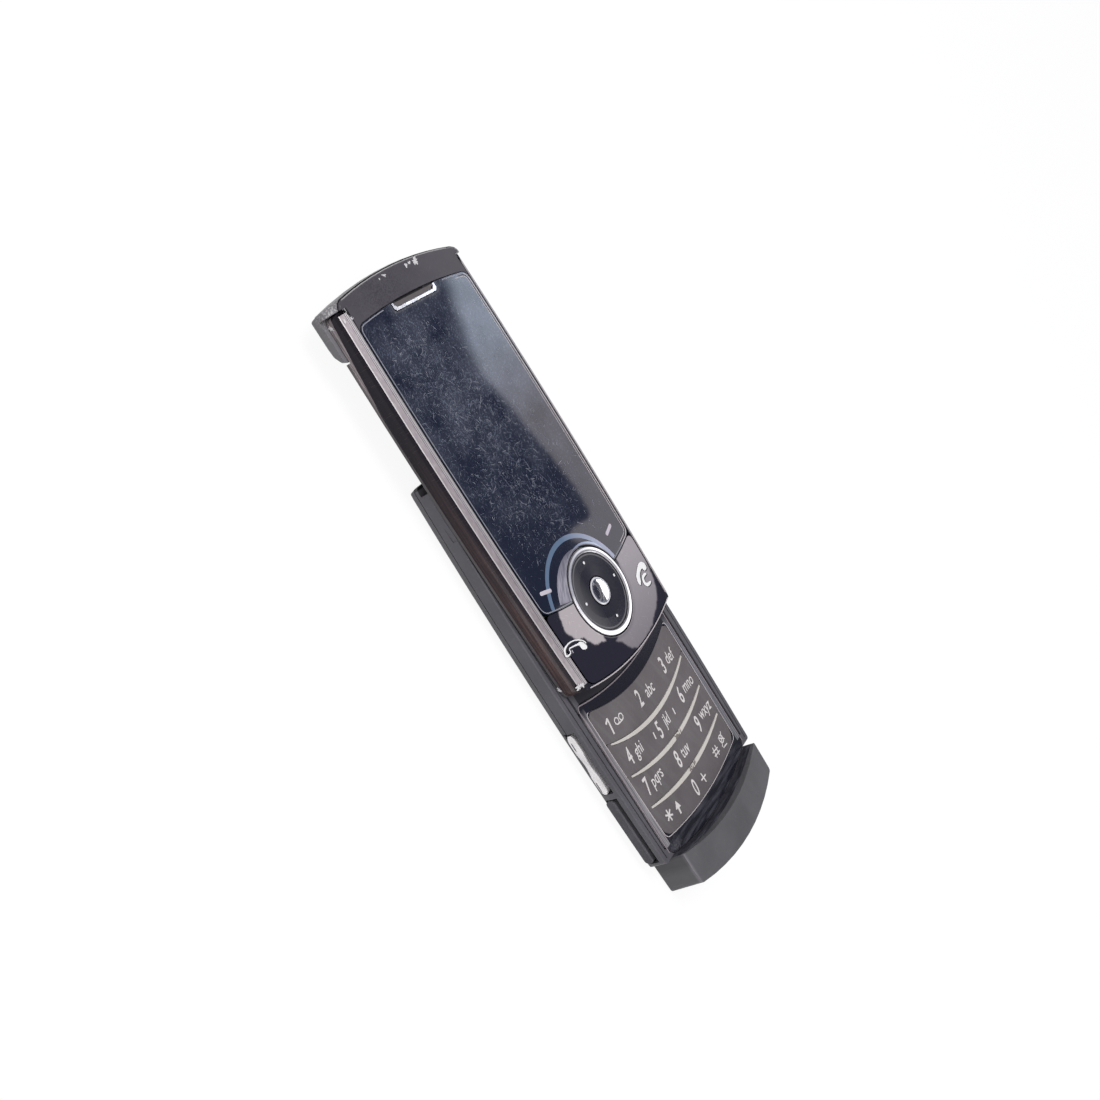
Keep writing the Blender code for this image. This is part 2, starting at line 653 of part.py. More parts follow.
def bay_top():
    """Height of the battery bay's roof, above the cover's floor, the battery and the card holder."""
    return COVER_WALL + RUNNING_GAP + BATTERY_THICKNESS + SEAT_GAP + SIM_THICKNESS + SEAT_GAP


def make_battery_and_cover():
    """The back cover, the battery behind it and the card holder under the battery."""
    cover = base_skin("battery_cover", "satin_grey")
    far = HALF_LENGTH + OVERRUN
    wide = HALF_WIDTH + OVERRUN
    above = block("cover_above_cutter", (-wide, wide), (-far, far),
                  (COVER_SEAM_Z, BASE_THICKNESS + OVERRUN))
    below = block("cover_end_cutter", (-wide, wide), (-far, COVER_EDGE_Y + SEAM_GAP),
                  (-OVERRUN, BASE_THICKNESS + OVERRUN))
    hollow = back_form("cover_hollow_cutter", COVER_WALL, BASE_THICKNESS)
    cut(cover, above, below, hollow)
    low = COVER_WALL + RUNNING_GAP
    battery = slab("battery", battery_outline(-SEAM_GAP), low, low + BATTERY_THICKNESS, "battery_grey")
    sim_low = low + BATTERY_THICKNESS + SEAT_GAP
    sim_y = BAY_SHIFT_Y + BATTERY_LENGTH / 2 - SIM_LENGTH
    block("sim_holder", (-SIM_WIDTH / 2, SIM_WIDTH / 2), (sim_y, sim_y + SIM_LENGTH - BATTERY_CORNER),
          (sim_low, sim_low + SIM_THICKNESS), "steel")
    return cover, battery


def make_bezel():
    """The glossy plate round the keypad."""
    bezel = loft("front_bezel", [(BEZEL_LOW_Z, BEZEL_PLAN.points()),
                                 (BASE_THICKNESS - BEZEL_CHAMFER / 2, BEZEL_PLAN.points()),
                                 (BASE_THICKNESS, BEZEL_PLAN.shrunk(BEZEL_CHAMFER).points())], "gloss_navy")
    hole = slab("keypad_hole_cutter", KEYPAD_PLAN.shrunk(-SEAM_GAP).points(),
                BEZEL_LOW_Z - OVERRUN, BASE_THICKNESS + OVERRUN)
    cut(bezel, hole)


def make_chin():
    """The full-depth end block that the slider closes against, crowned in front, with its heel drawn out."""
    outline = CHIN_PLAN
    chamfer = CHIN_BACK_CHAMFER
    levels = [(0.0, outline.shrunk(chamfer, chamfer - CHIN_HEEL, 0.0).points()),
              (chamfer, outline.shrunk(0.0, -CHIN_HEEL, 0.0).points()),
              (CHIN_CROWN_Z + OVERRUN, outline.points())]
    chin = loft("chin_cap", levels, "chin_grey")
    rise = CHIN_CROWN_Z - CHIN_EDGE_Z
    crown_radius = (CHIN_HALF_WIDTH ** 2 + rise ** 2) / (2 * rise)
    wide = CHIN_HALF_WIDTH + OVERRUN
    half = CHIN_HALF_WIDTH - CHIN_EDGE_ROUND
    arc = [(x, CHIN_CROWN_Z - sag(x, crown_radius)) for x in steps(half, -half, END_STEPS)]
    fall = CHIN_EDGE_Z - CHIN_EDGE_ROUND - OVERRUN
    roof = [(-wide, fall), (-wide, CHIN_CROWN_Z + 2 * OVERRUN), (wide, CHIN_CROWN_Z + 2 * OVERRUN), (wide, fall)]
    above = along_y("chin_crown_cutter", list(reversed(arc + roof)), -HALF_LENGTH - OVERRUN,
                    SHELL_END_Y + OVERRUN)
    wall = Plan(wide, CHIN_INNER_Y, SHELL_END_Y + OVERRUN, SMALL_CORNER, CHIN_RADIUS, STRAIGHT_RADIUS)
    front = slab("chin_front_cutter", wall.points(), CHIN_STEP_Z, CHIN_CROWN_Z + 2 * OVERRUN)
    step = slab("chin_step_cutter", wall.shrunk(0.0, CHIN_STEP, 0.0).points(), BASE_THICKNESS,
                CHIN_STEP_Z + OVERRUN)
    bezel_room = slab("chin_bezel_cutter", BEZEL_PLAN.shrunk(-SEAM_GAP).points(),
                      BEZEL_LOW_Z - SEAT_GAP, BASE_THICKNESS + OVERRUN)
    cut(chin, above, front, step, bezel_room)
    return chin


def ridge_edges(index, gap):
    """Upper and lower edge of one ridge, as functions of x; the ridge swells towards its middle."""
    apex = RIDGE_FIRST_APEX_Y - RIDGE_PITCH * index
    radius = RIDGE_FIRST_RADIUS + RIDGE_RADIUS_STEP * index

    def half_width(x):
        share = 1 - min(abs(x) / RIDGE_HALF_LENGTH, 1.0) ** 2
        return (RIDGE_END_WIDTH + (RIDGE_MIDDLE_WIDTH - RIDGE_END_WIDTH) * share) / 2 + gap

    def high(x):
        return apex + sag(x, radius) + half_width(x)

    def low(x):
        return apex + sag(x, radius) - half_width(x)

    return high, low


def make_keypad():
    """Three fixed ridges across the keypad, and the four sprung key rows between them."""
    ridges = []
    for index in range(RIDGE_COUNT):
        high, low = ridge_edges(index, 0.0)
        xs = steps(-RIDGE_HALF_LENGTH, RIDGE_HALF_LENGTH, 2 * END_STEPS)
        outline = [(x, low(x)) for x in xs] + [(x, high(x)) for x in reversed(xs)]
        ridge = slab("row_ridge_%d" % (index + 1), outline, KEY_LOW_Z - KEY_TRAVEL,
                     BASE_THICKNESS + RIDGE_PROUD, "ivory")
        ridges.append(ridge)
    rows = []
    for index in range(RIDGE_COUNT + 1):
        row = slab("key_row_%d" % (index + 1), KEYPAD_PLAN.points(), KEY_LOW_Z, KEY_TOP_Z, "keypad")
        if index > 0:
            cut(row, ridge_side_cutter(index - 1, above=True, row=index))
        if index < RIDGE_COUNT:
            cut(row, ridge_side_cutter(index, above=False, row=index))
        middle_y = RIDGE_FIRST_APEX_Y + RIDGE_PITCH / 2 - RIDGE_PITCH * index
        carrier("key_row_%d_axis" % (index + 1), (0.0, middle_y, KEY_LOW_Z), [row])
        rows.append(row)
    return rows


def ridge_side_cutter(index, above, row):
    """Everything of the keypad that lies beyond one side of a ridge."""
    high, low = ridge_edges(index, SEAM_GAP / 2)
    wide = KEYPAD_HALF_WIDTH + OVERRUN
    xs = steps(-wide, wide, 2 * END_STEPS)
    if above:
        far = KEYPAD_TOP_Y + 2 * (KEYPAD_HALF_WIDTH + OVERRUN)
        outline = [(x, low(x)) for x in xs] + [(wide, far), (-wide, far)]
    else:
        far = KEYPAD_BOTTOM_Y - OVERRUN
        outline = [(-wide, far), (wide, far)] + [(x, high(x)) for x in reversed(xs)]
    return slab("row_%d_cutter_%d" % (row, index), outline, KEY_LOW_Z - OVERRUN, KEY_TOP_Z + OVERRUN)


def dome_sheet_top():
    return KEY_LOW_Z - KEY_TRAVEL - DOME_HEIGHT - SEAT_GAP / 2


def make_board_stack():
    """Circuit board, dome sheet and the parts that hang under the board."""
    low_y = SHELL_END_Y + FRONT_CAVITY_END_MARGIN + BOARD_MARGIN
    high_y = COVER_EDGE_Y - SEAM_GAP - BACK_WALL - BOARD_MARGIN
    half = FRONT_CAVITY_HALF - BOARD_MARGIN
    sheet_top = dome_sheet_top()
    sheet_low = sheet_top - DOME_SHEET_THICKNESS
    sheet = slab("dome_sheet", rounded_box(half, low_y, high_y, BOARD_MARGIN), sheet_low, sheet_top, "clear_yellow")
    column = KEYPAD_HALF_WIDTH * 2 / 3
    for row in range(RIDGE_COUNT + 1):
        for place in (-1, 0, 1):
            y = RIDGE_FIRST_APEX_Y + RIDGE_PITCH / 2 - RIDGE_PITCH * row + sag(column * place, RIDGE_FIRST_RADIUS)
            y = max(y, low_y + DOME_RADIUS + BOARD_MARGIN)
            foot = circle(column * place, y, DOME_RADIUS, DOME_STEPS)
            levels = [(sheet_top - DOME_SHEET_THICKNESS / 2, foot), (sheet_top, foot),
                      (sheet_top + DOME_HEIGHT, circle(column * place, y, DOME_RADIUS / 2, DOME_STEPS))]
            dome = loft("dome_%d_%d_tool" % (row, place + 2), levels)
            join(sheet, dome)
    board_top = sheet_low - SEAT_GAP
    board_low = board_top - BOARD_THICKNESS
    slab("main_board", rounded_box(half, low_y, high_y, BOARD_MARGIN), board_low, board_top, "board_green")
    part_top = board_low - SEAT_GAP
    speaker_y = low_y + BOARD_MARGIN
    half_speaker = SPEAKER_WIDTH / 2
    slab("loudspeaker", rounded_box(half_speaker, speaker_y, speaker_y + SPEAKER_LENGTH, BATTERY_CORNER),
         part_top - SPEAKER_THICKNESS, part_top, "black")
    motor_y = high_y - MOTOR_RADIUS - BOARD_MARGIN
    slab("vibration_motor", circle(-half / 2, motor_y, MOTOR_RADIUS, SMALL_CIRCLE_STEPS),
         part_top - MOTOR_THICKNESS, part_top, "steel")
    mic_x = half - MICROPHONE_RADIUS * 1.5
    slab("microphone", circle(mic_x, speaker_y + MICROPHONE_RADIUS, MICROPHONE_RADIUS, SMALL_CIRCLE_STEPS),
         part_top - MICROPHONE_THICKNESS, part_top, "steel")


def side_pockets():
    """Cutters for the volume key, the shutter key, the connector flap and what lies behind them."""
    out = HALF_WIDTH + OVERRUN
    key_floor = HALF_WIDTH - SIDE_KEY_DEPTH - VOLUME_TILT_ROOM
    switch_floor = key_floor - SWITCH_DEPTH - SEAT_GAP
    half_key = VOLUME_LENGTH / 2 + SEAM_GAP
    key_z = (VOLUME_MIDDLE_Z - VOLUME_HEIGHT / 2 - SEAM_GAP,
             VOLUME_MIDDLE_Z + VOLUME_HEIGHT / 2 + SEAM_GAP + SIDE_KEY_NAIL_ROOM)
    volume = block("volume_pocket_cutter", (-out, -key_floor),
                   (VOLUME_MIDDLE_Y - half_key, VOLUME_MIDDLE_Y + half_key), key_z)
    half_key = SHUTTER_LENGTH / 2 + SEAM_GAP
    shutter = block("shutter_pocket_cutter", (key_floor, out),
                    (SHUTTER_MIDDLE_Y - half_key, SHUTTER_MIDDLE_Y + half_key), key_z)
    switches = []
    for name, side, y in switch_places():
        low, high = sorted((side * switch_floor, side * (key_floor + OVERRUN / 2)))
        half = SWITCH_LENGTH / 2 + SEAT_GAP
        switches.append(block(name + "_pocket_cutter", (low, high), (y - half, y + half), switch_z(SEAT_GAP)))
    flap = block("flap_pocket_cutter", (-out, -HALF_WIDTH + FLAP_DEPTH + SEAM_GAP),
                 (FLAP_LOW_Y - SEAM_GAP, FLAP_HIGH_Y + SEAM_GAP),
                 (FLAP_LOW_Z - SEAM_GAP, FLAP_HIGH_Z + SEAM_GAP + FLAP_NAIL_ROOM))
    x, y, z = socket_box(SEAT_GAP)
    socket = block("socket_pocket_cutter", (x[0] - OVERRUN / 2, x[1] + OVERRUN / 2), y, z)
    return [volume, shutter, flap, socket] + switches


def switch_places():
    """Name, side and y of each switch behind a side key."""
    reach = VOLUME_LENGTH / 3
    return [("volume_switch_up", -1, VOLUME_MIDDLE_Y + reach),
            ("volume_switch_down", -1, VOLUME_MIDDLE_Y - reach),
            ("shutter_switch", 1, SHUTTER_MIDDLE_Y)]


def switch_z(gap):
    """Height range of the side switches, which stay under the runner grooves."""
    high = GROOVE_FLOOR_Z - SEAM_GAP - SEAT_GAP
    return (high - SWITCH_HEIGHT - gap, high + gap)


def socket_box(gap):
    """Limits of the connector socket behind the flap."""
    outer = HALF_WIDTH - FLAP_DEPTH - RUNNING_GAP - SEAM_GAP
    middle = (FLAP_LOW_Y + FLAP_HIGH_Y) / 2
    top = GROOVE_FLOOR_Z - SEAM_GAP
    return ((-outer - gap, -outer + SOCKET_DEPTH + gap),
            (middle - SOCKET_LENGTH / 2 - gap, middle + SOCKET_LENGTH / 2 + gap),
            (top - SOCKET_THICKNESS - gap, top + gap))


def screw_places():
    """Two screws under the back cover and two in the chin's back: x, y and the height of the face."""
    high_y = HALF_LENGTH - SCREW_EDGE_Y
    low_y = -HALF_LENGTH + SCREW_EDGE_Y
    inner = COVER_WALL + RUNNING_GAP
    return [(-SCREW_X, high_y, inner), (SCREW_X, high_y, inner), (-SCREW_X, low_y, 0.0), (SCREW_X, low_y, 0.0)]


def screw_pockets():
    pockets = []
    for index, (x, y, z) in enumerate(screw_places()[:2]):
        outline = circle(x, y, SCREW_RADIUS + SEAM_GAP, SMALL_CIRCLE_STEPS)
        pockets.append(slab("screw_%d_pocket_cutter" % index, outline, z - OVERRUN, z + SCREW_HEAD + 2 * SEAT_GAP))
    return pockets


def make_screws(chin):
    for index, (x, y, z) in enumerate(screw_places()):
        if z == 0:
            outline = circle(x, y, SCREW_RADIUS + SEAM_GAP, SMALL_CIRCLE_STEPS)
            cut(chin, slab("chin_screw_%d_cutter" % index, outline, -OVERRUN, SCREW_HEAD + 2 * SEAT_GAP))
        radius = SCREW_RADIUS
        levels = [(z + SEAT_GAP, circle(x, y, radius - SEAT_GAP, SMALL_CIRCLE_STEPS)),
                  (z + 2 * SEAT_GAP, circle(x, y, radius, SMALL_CIRCLE_STEPS)),
                  (z + SCREW_HEAD + SEAT_GAP, circle(x, y, radius, SMALL_CIRCLE_STEPS))]
        loft("base_screw_%d" % (index + 1), levels, "steel")


def make_side_keys():
    """Volume rocker, shutter key, their switches, the rubber flap and the socket behind it."""
    half = VOLUME_LENGTH / 2

    def half_height(share):
        waist = (1 - VOLUME_WAIST_SHARE) * max(0.0, 1 - (share / VOLUME_WAIST_SPAN_SHARE) ** 2)
        return VOLUME_HEIGHT / 2 * (1 - waist) * math.sqrt(1 - abs(share) ** VOLUME_END_POWER)

    shares = steps(-VOLUME_END_SHARE, VOLUME_END_SHARE, 2 * END_STEPS)
    low = [(VOLUME_MIDDLE_Y + half * t, VOLUME_MIDDLE_Z - half_height(t)) for t in shares]
    high = [(VOLUME_MIDDLE_Y + half * t, VOLUME_MIDDLE_Z + half_height(t)) for t in reversed(shares)]
    outer = HALF_WIDTH + SIDE_KEY_PROUD
    inner = HALF_WIDTH - SIDE_KEY_DEPTH
    volume = along_x("volume_key", low + high, -outer, -inner, "chrome")
    carrier("volume_key_axis", (-inner, VOLUME_MIDDLE_Y, VOLUME_MIDDLE_Z), [volume])

    outline = Plan(SHUTTER_HEIGHT / 2, SHUTTER_MIDDLE_Y - SHUTTER_LENGTH / 2,
                   SHUTTER_MIDDLE_Y + SHUTTER_LENGTH / 2, SHUTTER_HEIGHT / 3, STRAIGHT_RADIUS,
                   STRAIGHT_RADIUS, SHUTTER_MIDDLE_Y, STRAIGHT_RADIUS).points()
    section = [(y, VOLUME_MIDDLE_Z - x) for x, y in outline]
    shutter = along_x("shutter_key", section, inner, outer, "chrome")
    carrier("shutter_key_axis", (inner, SHUTTER_MIDDLE_Y, VOLUME_MIDDLE_Z), [shutter])

    key_floor = inner - VOLUME_TILT_ROOM
    for name, side, y in switch_places():
        x = sorted((side * key_floor, side * (key_floor - SWITCH_DEPTH)))
        block(name, x, (y - SWITCH_LENGTH / 2, y + SWITCH_LENGTH / 2), switch_z(0.0), "steel")

    flap = make_flap()
    hinge_x = -BASE_PLAN.side(FLAP_LOW_Y) - FLAP_PROUD / 2
    carrier("port_flap_axis", (hinge_x, FLAP_LOW_Y, (FLAP_LOW_Z + FLAP_HIGH_Z) / 2), [flap])
    block("port_socket", *socket_box(0.0), "steel")


def make_flap():
    """The rubber flap: a long rounded form that stands proud of the side and follows its barrel."""
    form = Plan((FLAP_HIGH_Z - FLAP_LOW_Z) / 2, FLAP_LOW_Y, FLAP_HIGH_Y, FLAP_CORNER, STRAIGHT_RADIUS,
                STRAIGHT_RADIUS, 0.0, STRAIGHT_RADIUS)
    middle = (FLAP_LOW_Z + FLAP_HIGH_Z) / 2
    full, small = form.points(), form.shrunk(FLAP_ROUND).points()
    inner = [(-HALF_WIDTH + FLAP_DEPTH, y, middle + z) for z, y in full]
    edge = [(-BASE_PLAN.side(y) - FLAP_PROUD + FLAP_ROUND, y, middle + z) for z, y in full]
    face = [(-BASE_PLAN.side(y) - FLAP_PROUD, y, middle + z) for z, y in small]
    count = len(full)
    faces = [tuple(reversed(range(count))), tuple(range(2 * count, 3 * count))]
    for ring_start in (0, count):
        for i in range(count):
            j = (i + 1) % count
            faces.append((ring_start + i, ring_start + j, ring_start + count + j, ring_start + count + i))
    return make("port_flap", inner + edge + face, faces, "rubber")


def band(side, inner, outer, y0, y1, slant=0.0):
    """Outline between two half widths along the barrel side; its high end may slant down to the inside."""
    ys = steps(y0, y1, 2 * SIDE_STEPS)
    inner_ys = steps(y0, y1 - slant, 2 * SIDE_STEPS)
    outside = [(side * (outer + SLIDER_PLAN.side(y) - RAIL_HALF_WIDTH), y) for y in ys]
    inside = [(side * (inner + SLIDER_PLAN.side(y) - RAIL_HALF_WIDTH), y) for y in inner_ys]
    outline = outside + inside[::-1]
    return outline if side > 0 else outline[::-1]


def rail_levels(top_inset):
    """The upper half's side profile: a lip, a bulging glossy rail and a sloped shoulder."""
    lip_z = SLIDER_REAR_Z + RAIL_LIP_HEIGHT
    levels = [(SLIDER_REAR_Z, RAIL_LIP / 2), (SLIDER_REAR_Z + RAIL_LIP / 2, 0.0), (lip_z - RAIL_LIP / 2, 0.0)]
    for share in steps(0.0, 1.0, ROUND_STEPS + 1):
        inset = RAIL_LIP + (RAIL_HALF_WIDTH - RAIL_LIP - STRIP_OUTER_HALF) * share * share
        levels.append((lip_z + (STRIP_LOW_Z - lip_z) * share, inset))
    levels.append((THICKNESS - RIM_BELOW_FRONT, top_inset))
    return levels


def make_frame():
    """The upper half's moulded tray: rear wall, glossy rails and the rim below the fascia."""
    levels = [(z, SLIDER_PLAN.shrunk(inset, 0.0, 0.0).points())
              for z, inset in rail_levels(RAIL_HALF_WIDTH - STRIP_INNER_HALF)]
    frame = loft("slider_frame", levels, "gloss_brown")
    wide = RAIL_HALF_WIDTH + OVERRUN
    top = THICKNESS + OVERRUN
    far = RAIL_HIGH_Y + OVERRUN
    arm_y = CAP_LOW_Y - SEAM_GAP
    cavity = block("frame_cavity_cutter", (-FRAME_CAVITY_HALF, FRAME_CAVITY_HALF),
                   (SLIDER_BOTTOM_Y + FRAME_CAVITY_MARGIN, far), (FRAME_FLOOR_Z, top))
    front = Plan(STRIP_WALL_X - SEAT_GAP, SLIDER_BOTTOM_Y + BOTTOM_RIM - SEAM_GAP, far, WINDOW_CORNER,
                 SLIDER_BOTTOM_RADIUS, STRAIGHT_RADIUS, UPPER_BARREL_Y)
    front_room = slab("front_room_cutter", front.points(), WINDOW_SEAT_Z, top)
    middle = Plan(STRIP_WALL_X, arm_y, far, SMALL_CORNER, STRAIGHT_RADIUS, STRAIGHT_RADIUS, UPPER_BARREL_Y)
    between = slab("cap_room_cutter", middle.points(), 0.0, top)
    below = block("skirt_room_cutter", (-wide, wide), (arm_y, far), (0.0, CAP_SKIRT_TOP_Z + SEAT_GAP))
    plate = block("plate_room_cutter", (-GROOVE_OUTER, GROOVE_OUTER),
                  (RUNNER_LOW_Y - SEAM_GAP, RUNNER_HIGH_Y + SEAM_GAP), (0.0, SLIDER_REAR_Z + STEEL + SEAT_GAP))
    panel = slab("panel_room_cutter", rear_panel_plan().shrunk(-SEAM_GAP).points(), 0.0,
                 SLIDER_REAR_Z + REAR_SKIN + SEAT_GAP)
    camera = block("camera_room_cutter", (-CAMERA_HOUSING_HALF - SEAM_GAP, FLASH_OFFSET_X + FLASH_RADIUS + SEAM_GAP),
                   (CAMERA_Y - CAMERA_HOUSING_HALF - SEAM_GAP, CAMERA_Y + CAMERA_HOUSING_HALF + SEAM_GAP), (0.0, top))
    cut(frame, cavity, front_room, between, below, plate, panel, camera)
    for side, name in ((-1, "left"), (1, "right")):
        outline = band(side, STRIP_WALL_X, wide, SLIDER_BOTTOM_Y + STRIP_START, far)
        cut(frame, slab("strip_room_cutter_" + name, outline, STRIP_LOW_Z - SEAT_GAP / 2, top))
    return frame


def rear_panel_plan():
    return Plan(REAR_PANEL_HALF_WIDTH, RUNNER_HIGH_Y + REAR_SKIN * 2, CAP_LOW_Y - REAR_SKIN * 2,
                SLIDER_CORNER / 2, STRAIGHT_RADIUS, STRAIGHT_RADIUS, UPPER_BARREL_Y)


def make_strips():
    """The two bright sloped strips beside the window, which follow the barrel sides."""
    strips = []
    for side, name in ((-1, "left"), (1, "right")):
        low = SLIDER_BOTTOM_Y + STRIP_START + SEAT_GAP
        high = RAIL_HIGH_Y - STRIP_TOP_MARGIN
        slant = STRIP_TOP_SLANT
        levels = [(STRIP_LOW_Z, band(side, STRIP_WALL_X + SEAT_GAP, STRIP_OUTER_HALF, low, high, slant)),
                  (THICKNESS, band(side, STRIP_WALL_X + SEAT_GAP, STRIP_INNER_HALF, low, high, slant))]
        strips.append(loft("side_strip_" + name, levels, "strip_pink"))
    return strips


def make_cap():
    """The end cap: a grey skirt that hangs round the lower half's end, and a satin front set into it."""
    levels = []
    for angle in steps(0, math.pi / 2, ROUND_STEPS):
        short = 1 - math.sin(angle)
        z = CAP_BOTTOM_Z + (CAP_SKIRT_TOP_Z - CAP_BOTTOM_Z) * (1 - math.cos(angle))
        inset = CAP_BACK_ROUND * short
        levels.append((z, CAP_PLAN.shrunk(inset, CAP_SKIRT_ROUND * short, inset).points()))
    for share in steps(0.0, 1.0, ROUND_STEPS):
        z = CAP_SHOULDER_Z + (CAP_BAND_TOP_Z - CAP_SHOULDER_Z) * share
        inset = (CAP_HALF_WIDTH - CAP_CREST_HALF) * share * share
        corner = CAP_CORNER + (CAP_FRONT_CORNER - CAP_CORNER) * share * share
        crest = Plan(CAP_HALF_WIDTH - inset, CAP_LOW_Y, SLIDER_TOP_Y - CAP_BACK_ROUND * share * share, corner,
                     STRAIGHT_RADIUS, CAP_RADIUS, UPPER_BARREL_Y, STRAIGHT_RADIUS)
        levels.append((z, crest.points()))
    skirt = loft("cap_skirt", levels, "satin_grey")
    front = loft("end_cap", [(CAP_SKIRT_TOP_Z, CAP_FRONT_PLAN.points()),
                             (THICKNESS - CAP_FRONT_ROUND, CAP_FRONT_PLAN.points()),
                             (THICKNESS, CAP_FRONT_PLAN.shrunk(CAP_FRONT_ROUND, 0.0).points())], "satin_violet")
    wide = CAP_HALF_WIDTH + OVERRUN
    top = THICKNESS + OVERRUN
    seat = CAP_SKIRT_TOP_Z - SEAT_GAP
    cut(skirt, slab("cap_front_cutter", CAP_FRONT_PLAN.shrunk(-SEAM_GAP).points(), seat, top))
    inner = CAP_HALF_WIDTH - CAP_WALL
    cut(skirt, block("cap_under_cutter", (-inner, inner), (CAP_LOW_Y - OVERRUN, CAP_WALL_Y), (0.0, SLIDER_REAR_Z)))
    room = WINDOW_PLAN.shrunk(-2 * SEAM_GAP, -SEAM_GAP, -SEAM_GAP)
    cut(front, slab("cap_window_cutter", room.points(), WINDOW_SEAT_Z, top))
    for side, name in ((-1, "left"), (1, "right")):
        outline = band(side, STRIP_WALL_X - SEAM_GAP, wide, CAP_LOW_Y - OVERRUN, RAIL_HIGH_Y + SEAM_GAP)
        cutter = slab("cap_rail_cutter_" + name, outline, seat, top)
        cut(skirt, cutter)
        cut(front, cutter)
    x, y, z = receiver_box(SEAT_GAP)
    cut(front, block("receiver_room_cutter", x, y, (z[0], top)))
    receiver = block("earpiece_receiver", *receiver_box(0.0), "black")
    return [skirt, front, receiver]


def receiver_box(gap):
    top = WINDOW_SEAT_Z - SEAT_GAP
    middle = ear_low_y() + EAR_TRIM_WIDTH
    return ((-RECEIVER_LENGTH / 2 - gap, RECEIVER_LENGTH / 2 + gap),
            (middle - RECEIVER_WIDTH / 2 - gap, middle + RECEIVER_WIDTH / 2 + gap),
            (top - RECEIVER_THICKNESS - gap, top + gap))


def ear_low_y():
    return WINDOW_TOP_Y - EAR_HEIGHT


def ear_outline(inset, top):
    """The earpiece opening: a shallow tray shape, open to the cap."""
    low = ear_low_y() + inset
    bend = low + EAR_CHAMFER
    x = EAR_HALF_WIDTH - inset
    return [(-x + EAR_CHAMFER, low), (x - EAR_CHAMFER, low), (x, bend), (x, top), (-x, top), (-x, bend)]


def make_window():
    """The display window with its earpiece notch, the chrome U in the notch and the mesh inside it."""
    window = slab("display_window", WINDOW_PLAN.points(), WINDOW_LOW_Z, THICKNESS, "glass")
    over = WINDOW_TOP_Y + OVERRUN
    low = WINDOW_LOW_Z - OVERRUN
    high = THICKNESS + OVERRUN
    nav_hole = slab("window_nav_cutter", circle(0.0, NAV_CENTRE_Y, NAV_RADIUS + RUNNING_GAP), low, high)
    ear_hole = slab("window_ear_cutter", ear_outline(-SEAM_GAP, over), low, high)
    cut(window, nav_hole, ear_hole)
    top = WINDOW_PLAN.high_edge(EAR_HALF_WIDTH) - SEAM_GAP
    outer = ear_outline(0.0, top)
    inner = ear_outline(EAR_TRIM_WIDTH, top)
    outline = outer[:4] + inner[3::-1] + inner[:3:-1] + outer[4:]
    trim = slab("earpiece_trim", outline, WINDOW_LOW_Z, THICKNESS + RIDGE_PROUD, "chrome")
    mesh_outline = ear_outline(EAR_TRIM_WIDTH + SEAT_GAP, top)
    mesh = slab("earpiece_mesh", mesh_outline, WINDOW_LOW_Z, THICKNESS - 4 * SEAT_GAP, "mesh_brown")
    fascia = slab("function_fascia", FASCIA_PLAN.points(), WINDOW_LOW_Z, THICKNESS, "gloss_mirror")
    cut(fascia, slab("fascia_nav_cutter", circle(0.0, NAV_CENTRE_Y, NAV_RADIUS + RUNNING_GAP), low, high))
    return [window, trim, mesh, fascia]


def make_navigation(slide):
    """Chrome rim and disc that tilt both ways over a rubber pad, and the centre key through them."""
    y = NAV_CENTRE_Y
    top = THICKNESS + NAV_PROUD
    low = top - NAV_THICKNESS
    inner = NAV_RADIUS - NAV_RIM_WIDTH
    edge = NAV_PROUD
    rim = ring("nav_rim", 0.0, y, [(inner, low), (NAV_RADIUS, low), (NAV_RADIUS, top - edge),
                                   (NAV_RADIUS - edge, top), (inner + edge, top), (inner, top - edge)], "chrome")
    hole = CENTRE_KEY_RADIUS + RUNNING_GAP
    outer = inner - SEAT_GAP
    shelf = THICKNESS - NAV_DISH / 2
    disc = ring("nav_disc", 0.0, y, [(hole, low), (outer, low), (outer, shelf),
                                     ((outer + hole) / 2, shelf - NAV_DISH), (hole, shelf)], "charcoal")
    pad_top = low - NAV_PAD_GAP
    pad_low = pad_top - NAV_PAD_THICKNESS
    pad = ring("nav_pad", 0.0, y, [(hole, pad_low), (NAV_PAD_RADIUS, pad_low), (NAV_PAD_RADIUS, pad_top),
                                   (hole, pad_top)], "rubber")
    radius = CENTRE_KEY_RADIUS
    levels = [(top - CENTRE_KEY_THICKNESS, circle(0.0, y, radius)),
              (top - edge, circle(0.0, y, radius)),
              (top, circle(0.0, y, radius - edge))]
    centre = loft("centre_key", levels, "chrome")
    tilt = carrier("nav_tilt_x_axis", (0.0, y, pad_low), [pad], slide)
    carrier("nav_tilt_y_axis", (0.0, y, pad_low), [rim, disc], tilt)
    carrier("centre_key_axis", (0.0, y, top - CENTRE_KEY_THICKNESS), [centre], slide)


